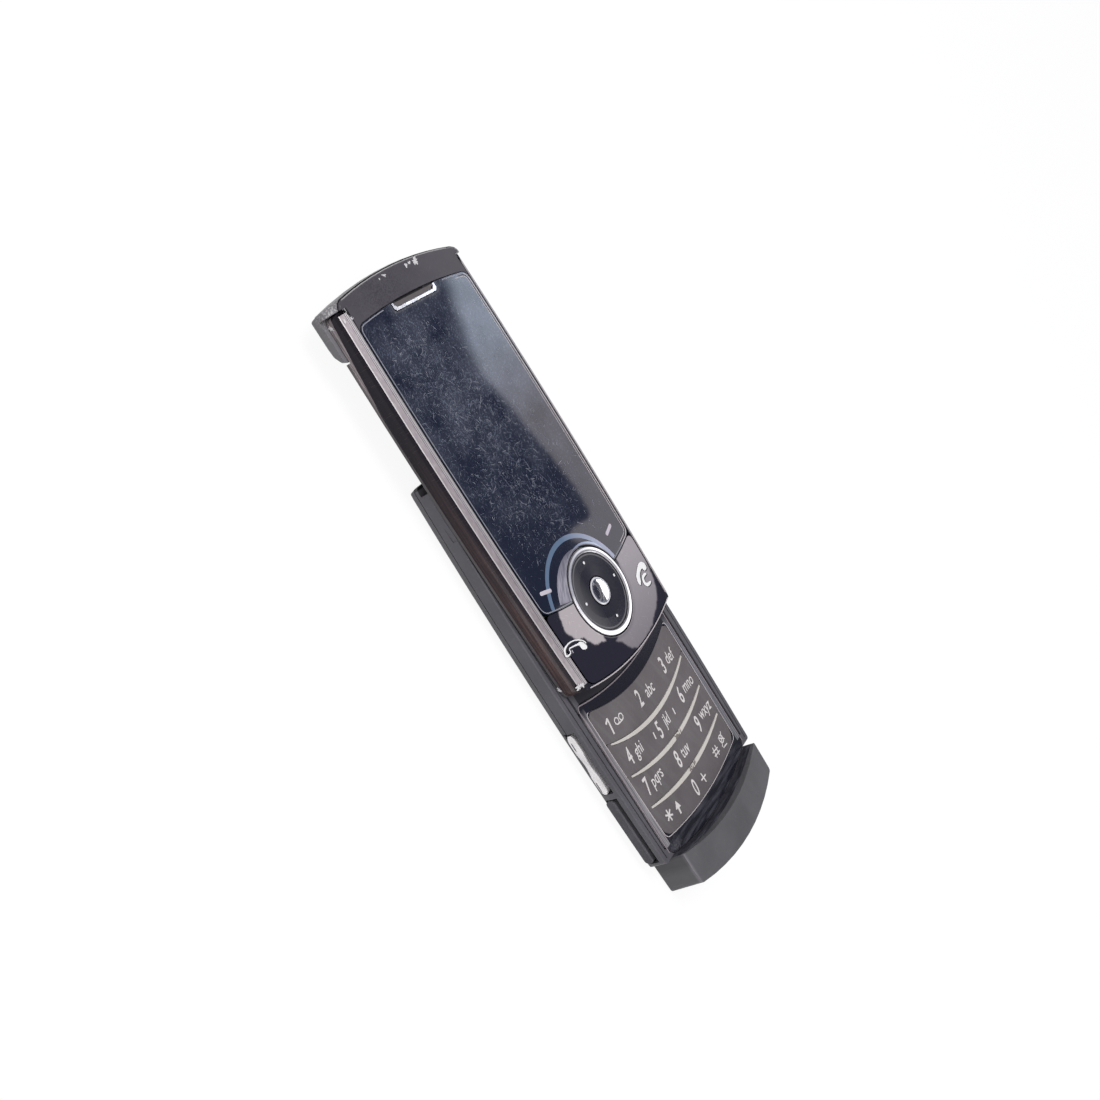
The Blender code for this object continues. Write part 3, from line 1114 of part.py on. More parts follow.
def make_display_stack():
    """Display module, upper board and the ribbon that joins it to the lower half."""
    lcd_top = WINDOW_LOW_Z - 2 * SEAT_GAP
    lcd_low = lcd_top - LCD_THICKNESS
    lcd = slab("lcd_module", rounded_box(LCD_HALF_WIDTH, LCD_LOW_Y, LCD_HIGH_Y, BOARD_MARGIN), lcd_low, lcd_top,
               "black")
    board_top = lcd_low - SEAM_GAP
    board_low = board_top - UPPER_BOARD_THICKNESS
    low_y = SLIDER_BOTTOM_Y + FRAME_CAVITY_MARGIN + BOARD_MARGIN
    board = slab("upper_board", rounded_box(LCD_HALF_WIDTH, low_y, UPPER_BOARD_HIGH_Y, BOARD_MARGIN),
                 board_low, board_top, "board_green")
    ribbon_low = FRAME_FLOOR_Z + SEAT_GAP
    ribbon_y = UPPER_BOARD_HIGH_Y - RIBBON_LENGTH
    ribbon = block("flex_ribbon", (-RIBBON_HALF_WIDTH, RIBBON_HALF_WIDTH), (ribbon_y, UPPER_BOARD_HIGH_Y),
                   (ribbon_low, ribbon_low + RIBBON_THICKNESS), "clear_yellow")
    return [lcd, board, ribbon]


def make_rear():
    """What the upper half's back shows when it is open: panel, camera, flash and steel slide plate."""
    high = SLIDER_REAR_Z + REAR_SKIN
    panel = slab("rear_panel", rear_panel_plan().points(), SLIDER_REAR_Z, high, "satin_grey")
    window_hole = circle(0.0, CAMERA_Y, CAMERA_RADIUS + SEAM_GAP)
    flash_hole = circle(FLASH_OFFSET_X, CAMERA_Y, FLASH_RADIUS + SEAM_GAP, SMALL_CIRCLE_STEPS)
    cut(panel, slab("camera_hole_cutter", window_hole, SLIDER_REAR_Z - OVERRUN, high + OVERRUN),
        slab("flash_hole_cutter", flash_hole, SLIDER_REAR_Z - OVERRUN, high + OVERRUN))
    low = SLIDER_REAR_Z + SEAT_GAP
    window = slab("camera_window", circle(0.0, CAMERA_Y, CAMERA_RADIUS), low, low + CAMERA_WINDOW_THICKNESS, "glass")
    flash = slab("flash_lens", circle(FLASH_OFFSET_X, CAMERA_Y, FLASH_RADIUS, SMALL_CIRCLE_STEPS), low,
                 high + SEAT_GAP, "clear_yellow")
    body_low = high + SEAT_GAP
    body_high = WINDOW_LOW_Z - LCD_THICKNESS - 4 * SEAT_GAP
    half = CAMERA_HOUSING_HALF
    camera = slab("camera_module", rounded_box(half, CAMERA_Y - half, CAMERA_Y + half, BOARD_MARGIN),
                  body_low, body_high, "black")
    barrel_low = low + CAMERA_WINDOW_THICKNESS + SEAT_GAP / 2
    join(camera, slab("camera_barrel_tool", circle(0.0, CAMERA_Y, CAMERA_LENS_RADIUS, SMALL_CIRCLE_STEPS),
                      barrel_low, body_low + BOARD_MARGIN))
    return [panel, window, flash, camera]


def make_slide_plate():
    """Folded steel plate whose hooked edges run in the lower half's grooves."""
    outer = GROOVE_OUTER - RUNNER_SIDE_GAP
    web = outer - STEEL
    tip = GROOVE_INNER - GROOVE_HOOK + RUNNER_SIDE_GAP
    foot_low = GROOVE_FLOOR_Z + RUNNER_SIDE_GAP
    foot_high = foot_low + STEEL
    top = SLIDER_REAR_Z + STEEL
    section = [(tip, foot_low), (outer, foot_low), (outer, top), (-outer, top), (-outer, foot_low),
               (-tip, foot_low), (-tip, foot_high), (-web, foot_high), (-web, SLIDER_REAR_Z),
               (web, SLIDER_REAR_Z), (web, foot_high), (tip, foot_high)]
    return along_y("slide_plate", section, RUNNER_LOW_Y, RUNNER_HIGH_Y, "steel")


def main():
    for old in list(bpy.data.objects):
        bpy.data.objects.remove(old, do_unlink=True)
    make_base_shell()
    cover, battery = make_battery_and_cover()
    carrier("battery_cover_axis", (0.0, COVER_EDGE_Y, COVER_WALL), [cover])
    make_bezel()
    make_screws(make_chin())
    make_board_stack()
    make_keypad()
    make_side_keys()
    pieces = [make_frame(), make_slide_plate()]
    pieces += make_strips() + make_cap() + make_window() + make_display_stack() + make_rear()
    slide = carrier("slide_axis", (0.0, SLIDER_MIDDLE_Y, SLIDER_REAR_Z), pieces)
    make_navigation(slide)


main()
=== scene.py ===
# %% [markdown]
# # A worn slider phone
# The phone lies on its back, slid open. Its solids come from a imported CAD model, already in place and in
# metres. This lesson adds what a camera sees: glossy and satin plastics, bright trim, printed legends, the
# scratches of years in a pocket, and a plain white studio.

import json
import math

import bpy
import numpy as np
from mathutils import Matrix, Vector

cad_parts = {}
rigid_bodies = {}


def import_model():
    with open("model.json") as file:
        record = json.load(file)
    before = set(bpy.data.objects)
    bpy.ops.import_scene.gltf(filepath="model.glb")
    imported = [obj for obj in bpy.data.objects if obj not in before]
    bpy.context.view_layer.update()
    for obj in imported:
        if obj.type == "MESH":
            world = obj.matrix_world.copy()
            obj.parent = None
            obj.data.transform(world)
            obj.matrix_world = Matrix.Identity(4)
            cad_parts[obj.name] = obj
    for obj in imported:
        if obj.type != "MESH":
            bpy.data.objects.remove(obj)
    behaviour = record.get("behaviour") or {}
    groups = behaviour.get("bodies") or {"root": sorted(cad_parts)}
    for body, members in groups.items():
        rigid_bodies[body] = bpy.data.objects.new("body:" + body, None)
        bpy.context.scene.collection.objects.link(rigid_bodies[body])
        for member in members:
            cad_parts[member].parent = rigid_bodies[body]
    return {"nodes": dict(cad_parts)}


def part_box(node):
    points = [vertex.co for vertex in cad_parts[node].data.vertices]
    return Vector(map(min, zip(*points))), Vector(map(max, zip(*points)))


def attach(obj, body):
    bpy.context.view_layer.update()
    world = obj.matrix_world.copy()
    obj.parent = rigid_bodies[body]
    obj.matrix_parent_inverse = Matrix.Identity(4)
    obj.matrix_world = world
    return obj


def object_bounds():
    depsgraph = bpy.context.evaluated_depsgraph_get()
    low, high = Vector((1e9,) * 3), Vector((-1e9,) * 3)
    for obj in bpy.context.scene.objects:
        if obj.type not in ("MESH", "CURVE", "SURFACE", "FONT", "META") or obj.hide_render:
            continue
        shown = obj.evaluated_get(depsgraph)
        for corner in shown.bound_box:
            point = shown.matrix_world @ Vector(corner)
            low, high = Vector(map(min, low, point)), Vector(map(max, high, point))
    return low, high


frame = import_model()
nodes = frame["nodes"]
cad_low, cad_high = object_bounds()
MM = 0.001
print(len(nodes), "solids, from", tuple(cad_low), "to", tuple(cad_high))

# %% [markdown]
# ## Camera
# The photograph was taken from the left and from above, with the camera rolled. A camera can be placed by an
# aim point, but a roll is easier to state as the camera's own three directions, which is what a matrix holds:
# its right, its up and its backward direction are the first three columns.

# %% Camera
FOCAL_SHARE = 1308.92 / 1100
camera_right = np.array([0.4652, -0.5302, 0.7089])
camera_down = np.array([-0.4341, -0.8345, -0.3393])
camera_forward = np.array([0.7714, -0.1499, -0.6184])
camera_place = np.array([-214.09, 65.75, 176.89])

camera_data = bpy.data.cameras.new("studio_camera")
camera_data.sensor_width = 36.0
camera_data.lens = FOCAL_SHARE * camera_data.sensor_width
camera_data.clip_start, camera_data.clip_end = 0.01, 20.0
camera = bpy.data.objects.new("studio_camera", camera_data)
turn = Matrix(np.column_stack([camera_right, -camera_down, -camera_forward]).tolist()).to_4x4()
camera.matrix_world = Matrix.Translation((camera_place * MM).tolist()) @ turn
bpy.context.scene.collection.objects.link(camera)
bpy.context.scene.camera = camera
print("lens", round(camera_data.lens, 2), "mm")

# %% [markdown]
# ## Studio
# Glossy plastic shows its surroundings more than its own colour, so the room matters. Pale walls all round
# light the sides, and the ceiling beyond the phone stays dark, so that the window and the panel can be dark.

# %% World
scene = bpy.context.scene
scene.view_settings.view_transform = "Standard"
world = bpy.data.worlds.new("white_room")
scene.world = world
world.use_nodes = True
room = world.node_tree
room.nodes.clear()


def room_node(kind, **values):
    """A node of the world, with its inputs or properties set by name."""
    made = room.nodes.new(kind)
    for key, value in values.items():
        if key in made.inputs:
            made.inputs[key].default_value = value
        else:
            setattr(made, key, value)
    return made


def room_range(source, low, high, to_low, to_high):
    """The source mapped from one range to another, eased at both ends."""
    step = room_node("ShaderNodeMapRange", interpolation_type="SMOOTHSTEP")
    for key, value in (("From Min", low), ("From Max", high), ("To Min", to_low), ("To Max", to_high)):
        step.inputs[key].default_value = value
    room.links.new(source, step.inputs["Value"])
    return step.outputs["Result"]


def room_math(operation, a, b):
    step = room_node("ShaderNodeMath", operation=operation)
    for socket, value in zip(step.inputs, (a, b)):
        if isinstance(value, (int, float)):
            socket.default_value = value
        else:
            room.links.new(value, socket)
    return step.outputs[0]


direction = room_node("ShaderNodeTexCoord").outputs["Generated"]
split = room_node("ShaderNodeSeparateXYZ")
room.links.new(direction, split.inputs[0])
wall_share = room_range(split.outputs["Z"], 0.36, 0.46, 1.0, 0.0)
ceiling = room_range(split.outputs["X"], 0.25, 0.65, 0.62, 0.13)
level = room_math("ADD", room_math("MULTIPLY", wall_share, 0.58), ceiling)
background = room_node("ShaderNodeBackground", Color=(0.99, 0.975, 1.0, 1.0))
room.links.new(level, background.inputs["Strength"])
room.links.new(background.outputs[0], room_node("ShaderNodeOutputWorld").inputs["Surface"])


# %% Lamps
def softbox(name, place, target, size, power, colour=(1.0, 1.0, 1.0)):
    """A square area lamp at a place, turned towards a target."""
    data = bpy.data.lights.new(name, "AREA")
    data.size = size
    data.energy = power
    data.color = colour
    lamp = bpy.data.objects.new(name, data)
    lamp.location = place
    lamp.rotation_euler = (Vector(target) - Vector(place)).to_track_quat("-Z", "Y").to_euler()
    scene.collection.objects.link(lamp)
    return lamp


middle = ((cad_low + cad_high) / 2).to_tuple()
softbox("top_softbox", (-0.05, 0.30, 0.75), middle, 0.35, 2.6)
softbox("side_softbox", (-0.70, -0.25, 0.35), middle, 0.30, 0.6)

# %% [markdown]
# The floor is white to the camera and keeps only a soft shadow. A floor lit to pure white would need so much
# light that the phone would wash out, so the floor glows where the camera or a mirror sees it.

# %% Floor
def surface(name, rows, closed=False, material=None, body=None):
    """A mesh from a grid of points in millimetres, shape (rows, columns, 3), joined by quads row to row.

    Column j of row i joins column j + 1 and row i + 1; a closed grid joins its last row to the first.
    """
    rows = np.asarray(rows, float)
    count, wide = rows.shape[:2]
    first = np.arange(count if closed else count - 1)[:, None]
    column = np.arange(wide - 1)[None, :]
    after = (first + 1) % count
    quads = np.stack([first * wide + column, after * wide + column, after * wide + column + 1,
                      first * wide + column + 1], axis=-1).reshape(-1, 4)
    return solid_of(name, rows.reshape(-1, 3), quads, material, body)


def solid_of(name, points, faces, material=None, body=None):
    """A mesh object from points in millimetres and faces, dressed, and riding on a body of the phone."""
    mesh = bpy.data.meshes.new(name)
    mesh.from_pydata((np.asarray(points) * MM).tolist(), [], np.asarray(faces).tolist())
    made = bpy.data.objects.new(name, mesh)
    scene.collection.objects.link(made)
    if material:
        mesh.materials.append(material)
    if body:
        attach(made, body)
    return made


REACH = 3000.0
corners = np.array([[[-REACH, -REACH, -0.1], [REACH, -REACH, -0.1]], [[-REACH, REACH, -0.1], [REACH, REACH, -0.1]]])
floor_material = bpy.data.materials.new("pale_floor")
floor_material.use_nodes = True
tree = floor_material.node_tree
tree.nodes.clear()
matt = tree.nodes.new("ShaderNodeBsdfDiffuse")
matt.inputs["Color"].default_value = (0.11, 0.11, 0.11, 1.0)
glow = tree.nodes.new("ShaderNodeEmission")
path = tree.nodes.new("ShaderNodeLightPath")
seen = tree.nodes.new("ShaderNodeMath")
seen.operation = "MAXIMUM"
both = tree.nodes.new("ShaderNodeMath")
both.operation = "MULTIPLY"
both.inputs[1].default_value = 0.91
add = tree.nodes.new("ShaderNodeAddShader")
out = tree.nodes.new("ShaderNodeOutputMaterial")
tree.links.new(path.outputs["Is Camera Ray"], seen.inputs[0])
tree.links.new(path.outputs["Is Glossy Ray"], seen.inputs[1])
tree.links.new(seen.outputs[0], both.inputs[0])
tree.links.new(both.outputs[0], glow.inputs["Strength"])
tree.links.new(matt.outputs[0], add.inputs[0])
tree.links.new(glow.outputs[0], add.inputs[1])
tree.links.new(add.outputs[0], out.inputs["Surface"])
floor = surface("floor", corners, material=floor_material)
print("floor", 2 * REACH * MM, "m square")

# %% [markdown]
# ### The board that the front mirrors
# The window and the panel show hard-edged pale patches: a bright board stood beyond the phone. A lamp can't
# have such an outline, so the board is a sheet whose glow is drawn as a function. The outline is known on the
# phone's front, and a mirror tells where it is on the board: a ray from the camera's mirror image, under the
# front, through each point of the front, goes on to the board.

# %% Reflection board
FRONT_Z = 10.9
BOARD_Z = 500.0


def on_board(x, y):
    """Where the board stands for a front point: carry on the ray from the camera's mirror image through it."""
    share = (BOARD_Z - FRONT_Z) / (camera_place[2] - FRONT_Z)
    return np.stack([x + share * (x - camera_place[0]), y + share * (y - camera_place[1]),
                     np.full_like(x, BOARD_Z)], axis=-1)


def patch_share(x, y, outline, soft):
    """1 inside a closed outline and 0 outside, eased over a soft edge.

    A point is inside when a ray to its right crosses the outline an odd number of times. The edge's distance is
    the least distance to the outline's segments.
    """
    a = np.array(outline, float)
    b = np.roll(a, -1, axis=0)
    px, py = x[..., None], y[..., None]
    above = (a[:, 1] > py) != (b[:, 1] > py)
    rise = np.where(b[:, 1] == a[:, 1], 1.0, b[:, 1] - a[:, 1])
    crossing = a[:, 0] + (py - a[:, 1]) * (b[:, 0] - a[:, 0]) / rise
    inside = (above & (px < crossing)).sum(axis=-1) % 2 == 1
    along = b - a
    t = ((px - a[:, 0]) * along[:, 0] + (py - a[:, 1]) * along[:, 1]) / (along ** 2).sum(axis=1)
    t = np.clip(t, 0.0, 1.0)
    away = np.hypot(px - a[:, 0] - t * along[:, 0], py - a[:, 1] - t * along[:, 1]).min(axis=-1)
    depth = np.clip(np.where(inside, away, -away) / soft + 0.5, 0.0, 1.0)
    return depth * depth * (3 - 2 * depth)


def band_share(x, y, centre, radius, width, soft):
    """1 on a ring of some width about a centre and 0 off it, eased over a soft edge."""
    off = np.abs(np.hypot(x - centre[0], y - centre[1]) - radius)
    return np.clip((width / 2 - off) / soft + 0.5, 0.0, 1.0)


BOARD_STEP = 0.25
NAV_Y = 11.63
across, along = np.meshgrid(np.arange(-24.0, 24.0, BOARD_STEP), np.arange(-7.0, 90.0, BOARD_STEP))
ripple_x = across + 0.07 * np.sin(2.3 * along) + 0.05 * np.sin(5.1 * along + 1.0)
ripple_y = along + 0.07 * np.sin(2.9 * across) + 0.05 * np.sin(6.1 * across + 2.0)
high_share = np.clip((along - 50.0) / 22.0, 0.0, 1.0)
window_sheen = patch_share(ripple_x, ripple_y, [
    (13.5, 90.0), (12.0, 82.0), (9.5, 76.0), (7.0, 70.0), (5.6, 63.0), (7.4, 55.0), (9.2, 46.7), (10.6, 39.7),
    (11.9, 32.6), (11.8, 26.8), (11.3, 25.4), (10.0, 24.7), (6.2, 25.4), (3.5, 25.6), (1.6, 25.2), (1.0, 24.0),
    (4.0, 21.0), (12.0, 13.5), (30.0, 16.0), (30.0, 95.0)], 0.7 + 5.5 * high_share)
panel_left = patch_share(ripple_x, ripple_y, [
    (-14.9, 15.5), (-15.9, 14.1), (-16.6, 12.2), (-17.0, 10.7), (-16.0, 9.3), (-15.2, 8.0), (-13.0, 7.2), (-12.0, 5.6),
    (-11.3, 4.4), (-9.9, 4.0), (-8.5, 3.7), (-7.3, 3.1), (-7.6, 4.9), (-9.4, 8.3), (-10.1, 11.6), (-9.5, 15.0)], 0.2)
panel_right = patch_share(ripple_x, ripple_y, [
    (10.1, 11.0), (11.0, 15.0), (17.2, 16.0), (21.5, 16.5), (20.8, 10.5), (19.4, 8.0), (19.0, 5.6), (17.8, 3.0),
    (16.2, 1.2), (14.3, -0.1), (12.6, -0.8), (10.8, -1.5), (9.3, -2.4), (3.8, -3.2), (0.5, -3.3),
    (-1.3, -2.2), (-2.8, -0.5), (-2.9, 0.3), (-4.7, 1.5), (-2.9, 1.85), (0.0, 1.5), (3.2, 2.05), (6.4, 3.9),
    (9.0, 7.2)], 0.45)
key_half = patch_share(ripple_x, ripple_y, [
    (0.2, 15.2), (0.7, 13.9), (0.9, 13.0), (0.75, 11.8), (0.4, 10.6), (0.1, 8.2), (3.6, 7.6), (6.0, 10.0),
    (5.0, 14.0), (2.5, 16.0)], 0.15)
key_disc = band_share(across, along, (0.0, NAV_Y), 0.0, 4.9, 0.2)
key_curl = band_share(ripple_x, ripple_y, (-2.0, 12.2), 1.9, 0.22, 0.2) + band_share(ripple_x, ripple_y, (1.2, 9.0), 2.0, 0.3, 0.2)
turn_share = np.clip((along - NAV_Y - across) / 12.0, 0.0, 1.0)
rim_glow = band_share(across, along, (0.0, NAV_Y), 9.3, 1.9, 0.3) * (1.45 - 1.05 * turn_share)
ear_glow = patch_share(across, along, [(-8.0, 82.2), (8.0, 82.2), (8.0, 84.5), (-8.0, 84.5)], 0.3)
panel_base = np.array([0.130, 0.135, 0.200])
glow_low, glow_high = np.array([1.62, 1.50, 1.50]), np.array([3.00, 3.35, 3.95])
glow = (window_sheen * (1.0 - panel_right))[..., None] * (glow_low + (glow_high - glow_low) * high_share[..., None])
glow += panel_base * (1.0 - 0.75 * key_disc[..., None])
near_ring = 1.0 - 0.42 * band_share(across, along, (0.0, NAV_Y), 10.2, 0.8, 1.2)
panel_right *= near_ring * (0.62 + 0.48 * np.clip((along + 3.0) / 16.0, 0.0, 1.0))
glow += panel_left[..., None] * np.array([2.25, 2.14, 2.10]) + panel_right[..., None] * np.array([1.62, 1.55, 1.58])
glow += ((key_disc * np.clip(key_half + 0.10 * key_curl, 0.0, 1.0)) * 3.8 + rim_glow + 2.4 * ear_glow)[..., None]
glow += (band_share(across, along, (0.0, NAV_Y), 2.9, 0.35, 0.1) * 0.9)[..., None]
board = surface("mirrored_board", on_board(across, along))
glow_layer = board.data.attributes.new("glow", "FLOAT_COLOR", "POINT")
glow_layer.data.foreach_set("color", np.dstack([glow, np.ones_like(across)]).ravel())
board_material = bpy.data.materials.new("board_glow")
board_material.use_nodes = True
tree = board_material.node_tree
tree.nodes.clear()
drawn = tree.nodes.new("ShaderNodeAttribute")
drawn.attribute_name = "glow"
lit = tree.nodes.new("ShaderNodeEmission")
out = tree.nodes.new("ShaderNodeOutputMaterial")
tree.links.new(drawn.outputs["Color"], lit.inputs["Color"])
tree.links.new(lit.outputs[0], out.inputs["Surface"])
board.data.materials.append(board_material)
board.visible_camera = False
board.visible_shadow = False
print("board", across.size, "points")

# %% [markdown]
# ## Finishes
# Each finish starts from one Principled shader. The patterns on it read Object coordinates, which here are
# metres in the phone's own frame, so a Mapping node turns them into millimetres first.


# %% A finish under construction
class Finish:
    """A Principled material with helpers for patterns measured in millimetres."""

    def __init__(self, name, colour, roughness, metallic=0.0, specular=0.5, coat=0.0):
        self.material = bpy.data.materials.new(name)
        self.material.use_nodes = True
        self.tree = self.material.node_tree
        self.shader = self.tree.nodes["Principled BSDF"]
        self.colour = (*colour, 1.0)
        self.shader.inputs["Base Color"].default_value = self.colour
        self.shader.inputs["Roughness"].default_value = roughness
        self.shader.inputs["Metallic"].default_value = metallic
        self.shader.inputs["Specular IOR Level"].default_value = specular
        self.shader.inputs["Coat Weight"].default_value = coat
        self.material.diffuse_color = self.colour
        self.place = self.tree.nodes.new("ShaderNodeTexCoord").outputs["Object"]

    def node(self, kind, links=(), **values):
        made = self.tree.nodes.new(kind)
        for key, value in values.items():
            if key in made.inputs:
                made.inputs[key].default_value = value
            else:
                setattr(made, key, value)
        for source, socket in links:
            self.tree.links.new(source, made.inputs[socket])
        return made

    def millimetres(self, stretch=(1, 1, 1), turn=(0, 0, 0)):
        """Object coordinates in millimetres, turned by degrees and then stretched."""
        scale = tuple(1000.0 / s for s in stretch)
        turned = self.node("ShaderNodeMapping", [(self.place, "Vector")],
                           Rotation=tuple(math.radians(t) for t in turn))
        return self.node("ShaderNodeMapping", [(turned.outputs[0], "Vector")], Scale=scale).outputs[0]

    def noise(self, size, stretch=(1, 1, 1), turn=(0, 0, 0), detail=2.0):
        """A soft random pattern whose blotches are about size millimetres across."""
        made = self.node("ShaderNodeTexNoise", [(self.millimetres(stretch, turn), "Vector")],
                         Scale=1.0 / size, Detail=detail)
        return made.outputs["Fac"]

    def between(self, source, low, high, to_low=0.0, to_high=1.0):
        """The source's range low to high, mapped to another range and held at its ends."""
        made = self.node("ShaderNodeMapRange", [(source, "Value")])
        for key, value in (("From Min", low), ("From Max", high), ("To Min", to_low), ("To Max", to_high)):
            made.inputs[key].default_value = value
        return made.outputs["Result"]

    def maths(self, operation, a, b):
        made = self.node("ShaderNodeMath", operation=operation)
        for socket, value in zip(made.inputs, (a, b)):
            if isinstance(value, (int, float)):
                socket.default_value = value
            else:
                self.tree.links.new(value, socket)
        return made.outputs[0]

    def paint(self, mask, colour):
        """Mixes a colour over the base colour where the mask is 1."""
        mix = self.node("ShaderNodeMix", data_type="RGBA")
        self.tree.links.new(mask, mix.inputs["Factor"])
        base = self.shader.inputs["Base Color"]
        if base.is_linked:
            self.tree.links.new(base.links[0].from_socket, mix.inputs["A"])
        else:
            mix.inputs["A"].default_value = self.colour
        mix.inputs["B"].default_value = (*colour, 1.0)
        self.tree.links.new(mix.outputs["Result"], base)

    def roughen(self, mask, low, high):
        self.tree.links.new(self.between(mask, 0.0, 1.0, low, high), self.shader.inputs["Roughness"])

    def bump(self, height, millimetres, strength=1.0):
        """Raises the surface by up to some millimetres where the height is 1."""
        made = self.node("ShaderNodeBump", [(height, "Height")], Strength=strength, Distance=millimetres * MM)
        self.tree.links.new(made.outputs[0], self.shader.inputs["Normal"])

    def near(self, x, y, z, radius):
        """1 at a point given in millimetres, falling to 0 at a radius round it."""
        away = self.node("ShaderNodeVectorMath", [(self.place, 0)], operation="DISTANCE")
        away.inputs[1].default_value = (x * MM, y * MM, z * MM)
        return self.between(away.outputs["Value"], 0.0, radius * MM, 1.0, 0.0)

    def ramp(self, axis, low, high):
        """0 below a place on the x, y or z axis, in millimetres, rising to 1 at another place."""
        split = self.node("ShaderNodeSeparateXYZ", [(self.place, 0)])
        return self.between(split.outputs[axis], low * MM, high * MM)

    def within(self, axis, reach):
        """1 where the coordinate on an axis is less than a reach from the middle, on either side."""
        split = self.node("ShaderNodeSeparateXYZ", [(self.place, 0)])
        off = self.maths("ABSOLUTE", split.outputs[axis], 0.0)
        return self.between(off, reach * MM, (reach - 0.1) * MM)

    def ring(self, x, y, radius, width):
        """1 on a circle round a point of the front, falling to 0 at half a width from it."""
        flat = self.node("ShaderNodeVectorMath", [(self.place, 0)], operation="MULTIPLY")
        flat.inputs[1].default_value = (1.0, 1.0, 0.0)
        away = self.node("ShaderNodeVectorMath", [(flat.outputs[0], 0)], operation="DISTANCE")
        away.inputs[1].default_value = (x * MM, y * MM, 0.0)
        off = self.maths("ABSOLUTE", self.maths("SUBTRACT", away.outputs["Value"], radius * MM), 0.0)
        return self.between(off, 0.0, width * MM / 2, 1.0, 0.0)

    def scratches(self, size, angle, share):
        """Fine straight marks: a noise stretched twenty times along one direction, kept where it is highest."""
        streak = self.noise(size, stretch=(1, 20, 20), turn=(0, 0, angle), detail=1.0)
        return self.between(streak, share, share + 0.05)


# %% [markdown]
# ### Satin plastic
# The shell, the cover, the chin and the cap are moulded with a fine grain. A grain is a bump far too small to
# see as relief, which only breaks the highlight up, and handling polishes it unevenly, so the roughness wanders.
# Years in a pocket leave paler specks and a few straight rubs.


# %% Satin plastics
def satin(name, colour, roughness, dust=0.15, rubs=0.10):
    finish = Finish(name, colour, roughness)
    pale = tuple(min(1.0, 3 * c + 0.08) for c in colour)
    finish.roughen(finish.noise(6.0, detail=4.0), roughness - 0.10, roughness + 0.10)
    finish.bump(finish.noise(0.18, detail=3.0), 0.02, 0.35)
    patchy = finish.between(finish.noise(9.0, detail=3.0), 0.35, 0.70)
    finish.paint(finish.maths("MULTIPLY", patchy, 0.10), pale)
    specks = finish.between(finish.noise(0.35, detail=1.0), 0.72, 0.78)
    finish.paint(finish.maths("MULTIPLY", specks, dust), pale)
    finish.paint(finish.maths("MULTIPLY", finish.scratches(0.12, 62, 0.68), rubs), pale)
    finish.paint(finish.maths("MULTIPLY", finish.scratches(0.15, -20, 0.70), rubs), pale)
    return finish


shell_grey = satin("shell_grey", (0.083, 0.081, 0.093), 0.42)
# Painted shade, nearly black: the top end of the lower half, which the upper half overhangs, and the deck under the
# upper half.
painted_shade_top_end = shell_grey.maths("MULTIPLY", shell_grey.ramp("Y", 50.6, 50.8), shell_grey.ramp("Z", 2.8, 3.0))
shell_grey.paint(painted_shade_top_end, (0.010, 0.010, 0.014))
painted_shade_deck = shell_grey.maths("MULTIPLY", shell_grey.ramp("Z", 5.85, 5.95), shell_grey.ramp("Y", -9.0, -8.8))
shell_grey.paint(shell_grey.maths("MULTIPLY", painted_shade_deck, shell_grey.within("X", 20.1)), (0.012, 0.012, 0.020))
skirt_grey = satin("skirt_grey", (0.160, 0.155, 0.166), 0.42, rubs=0.2)
worn_corner = skirt_grey.maths("MULTIPLY", skirt_grey.near(-23.4, 87.4, 10.2, 4.5),
                               skirt_grey.between(skirt_grey.noise(0.45, detail=3.0), 0.50, 0.60))
skirt_grey.paint(worn_corner, (0.48, 0.47, 0.47))
chin_grey = satin("chin_grey", (0.088, 0.087, 0.094), 0.46, dust=0.08)
# The shelf along the chin's inner edge gets painted shade, a dark stepped channel, and the streaks painted over it are
# reflections.
painted_chin_streaks = chin_grey.between(chin_grey.noise(0.8, stretch=(8, 1, 1), detail=4.0), 0.40, 0.62)
painted_shade_shelf = chin_grey.maths("MULTIPLY", chin_grey.ramp("Y", -44.75, -44.65), chin_grey.ramp("Z", 5.9, 6.0))
painted_shade_shelf = chin_grey.maths("MULTIPLY", painted_shade_shelf, chin_grey.ramp("Z", 7.9, 7.8))
painted_shade_shelf = chin_grey.maths("MULTIPLY", painted_shade_shelf, chin_grey.within("X", 20.95))
chin_grey.paint(painted_shade_shelf, (0.016, 0.016, 0.024))
chin_grey.paint(chin_grey.maths("MULTIPLY", painted_shade_shelf, chin_grey.maths("MULTIPLY", painted_chin_streaks, 0.5)), (0.105, 0.104, 0.130))
# A painted highlight along the chin's top-left edge.
painted_crease_highlight = chin_grey.maths("MULTIPLY", chin_grey.ramp("X", -20.2, -21.0), chin_grey.ramp("Z", 7.9, 8.6))
chin_grey.paint(chin_grey.maths("MULTIPLY", painted_crease_highlight, 0.6), (0.27, 0.26, 0.285))
# Painted shade: the chin's left face is darker.
chin_grey.paint(chin_grey.maths("MULTIPLY", chin_grey.ramp("X", -20.98, -21.06), 0.60), (0.034, 0.034, 0.040))
cap_violet = satin("cap_violet", (0.062, 0.056, 0.069), 0.38, dust=0.10)
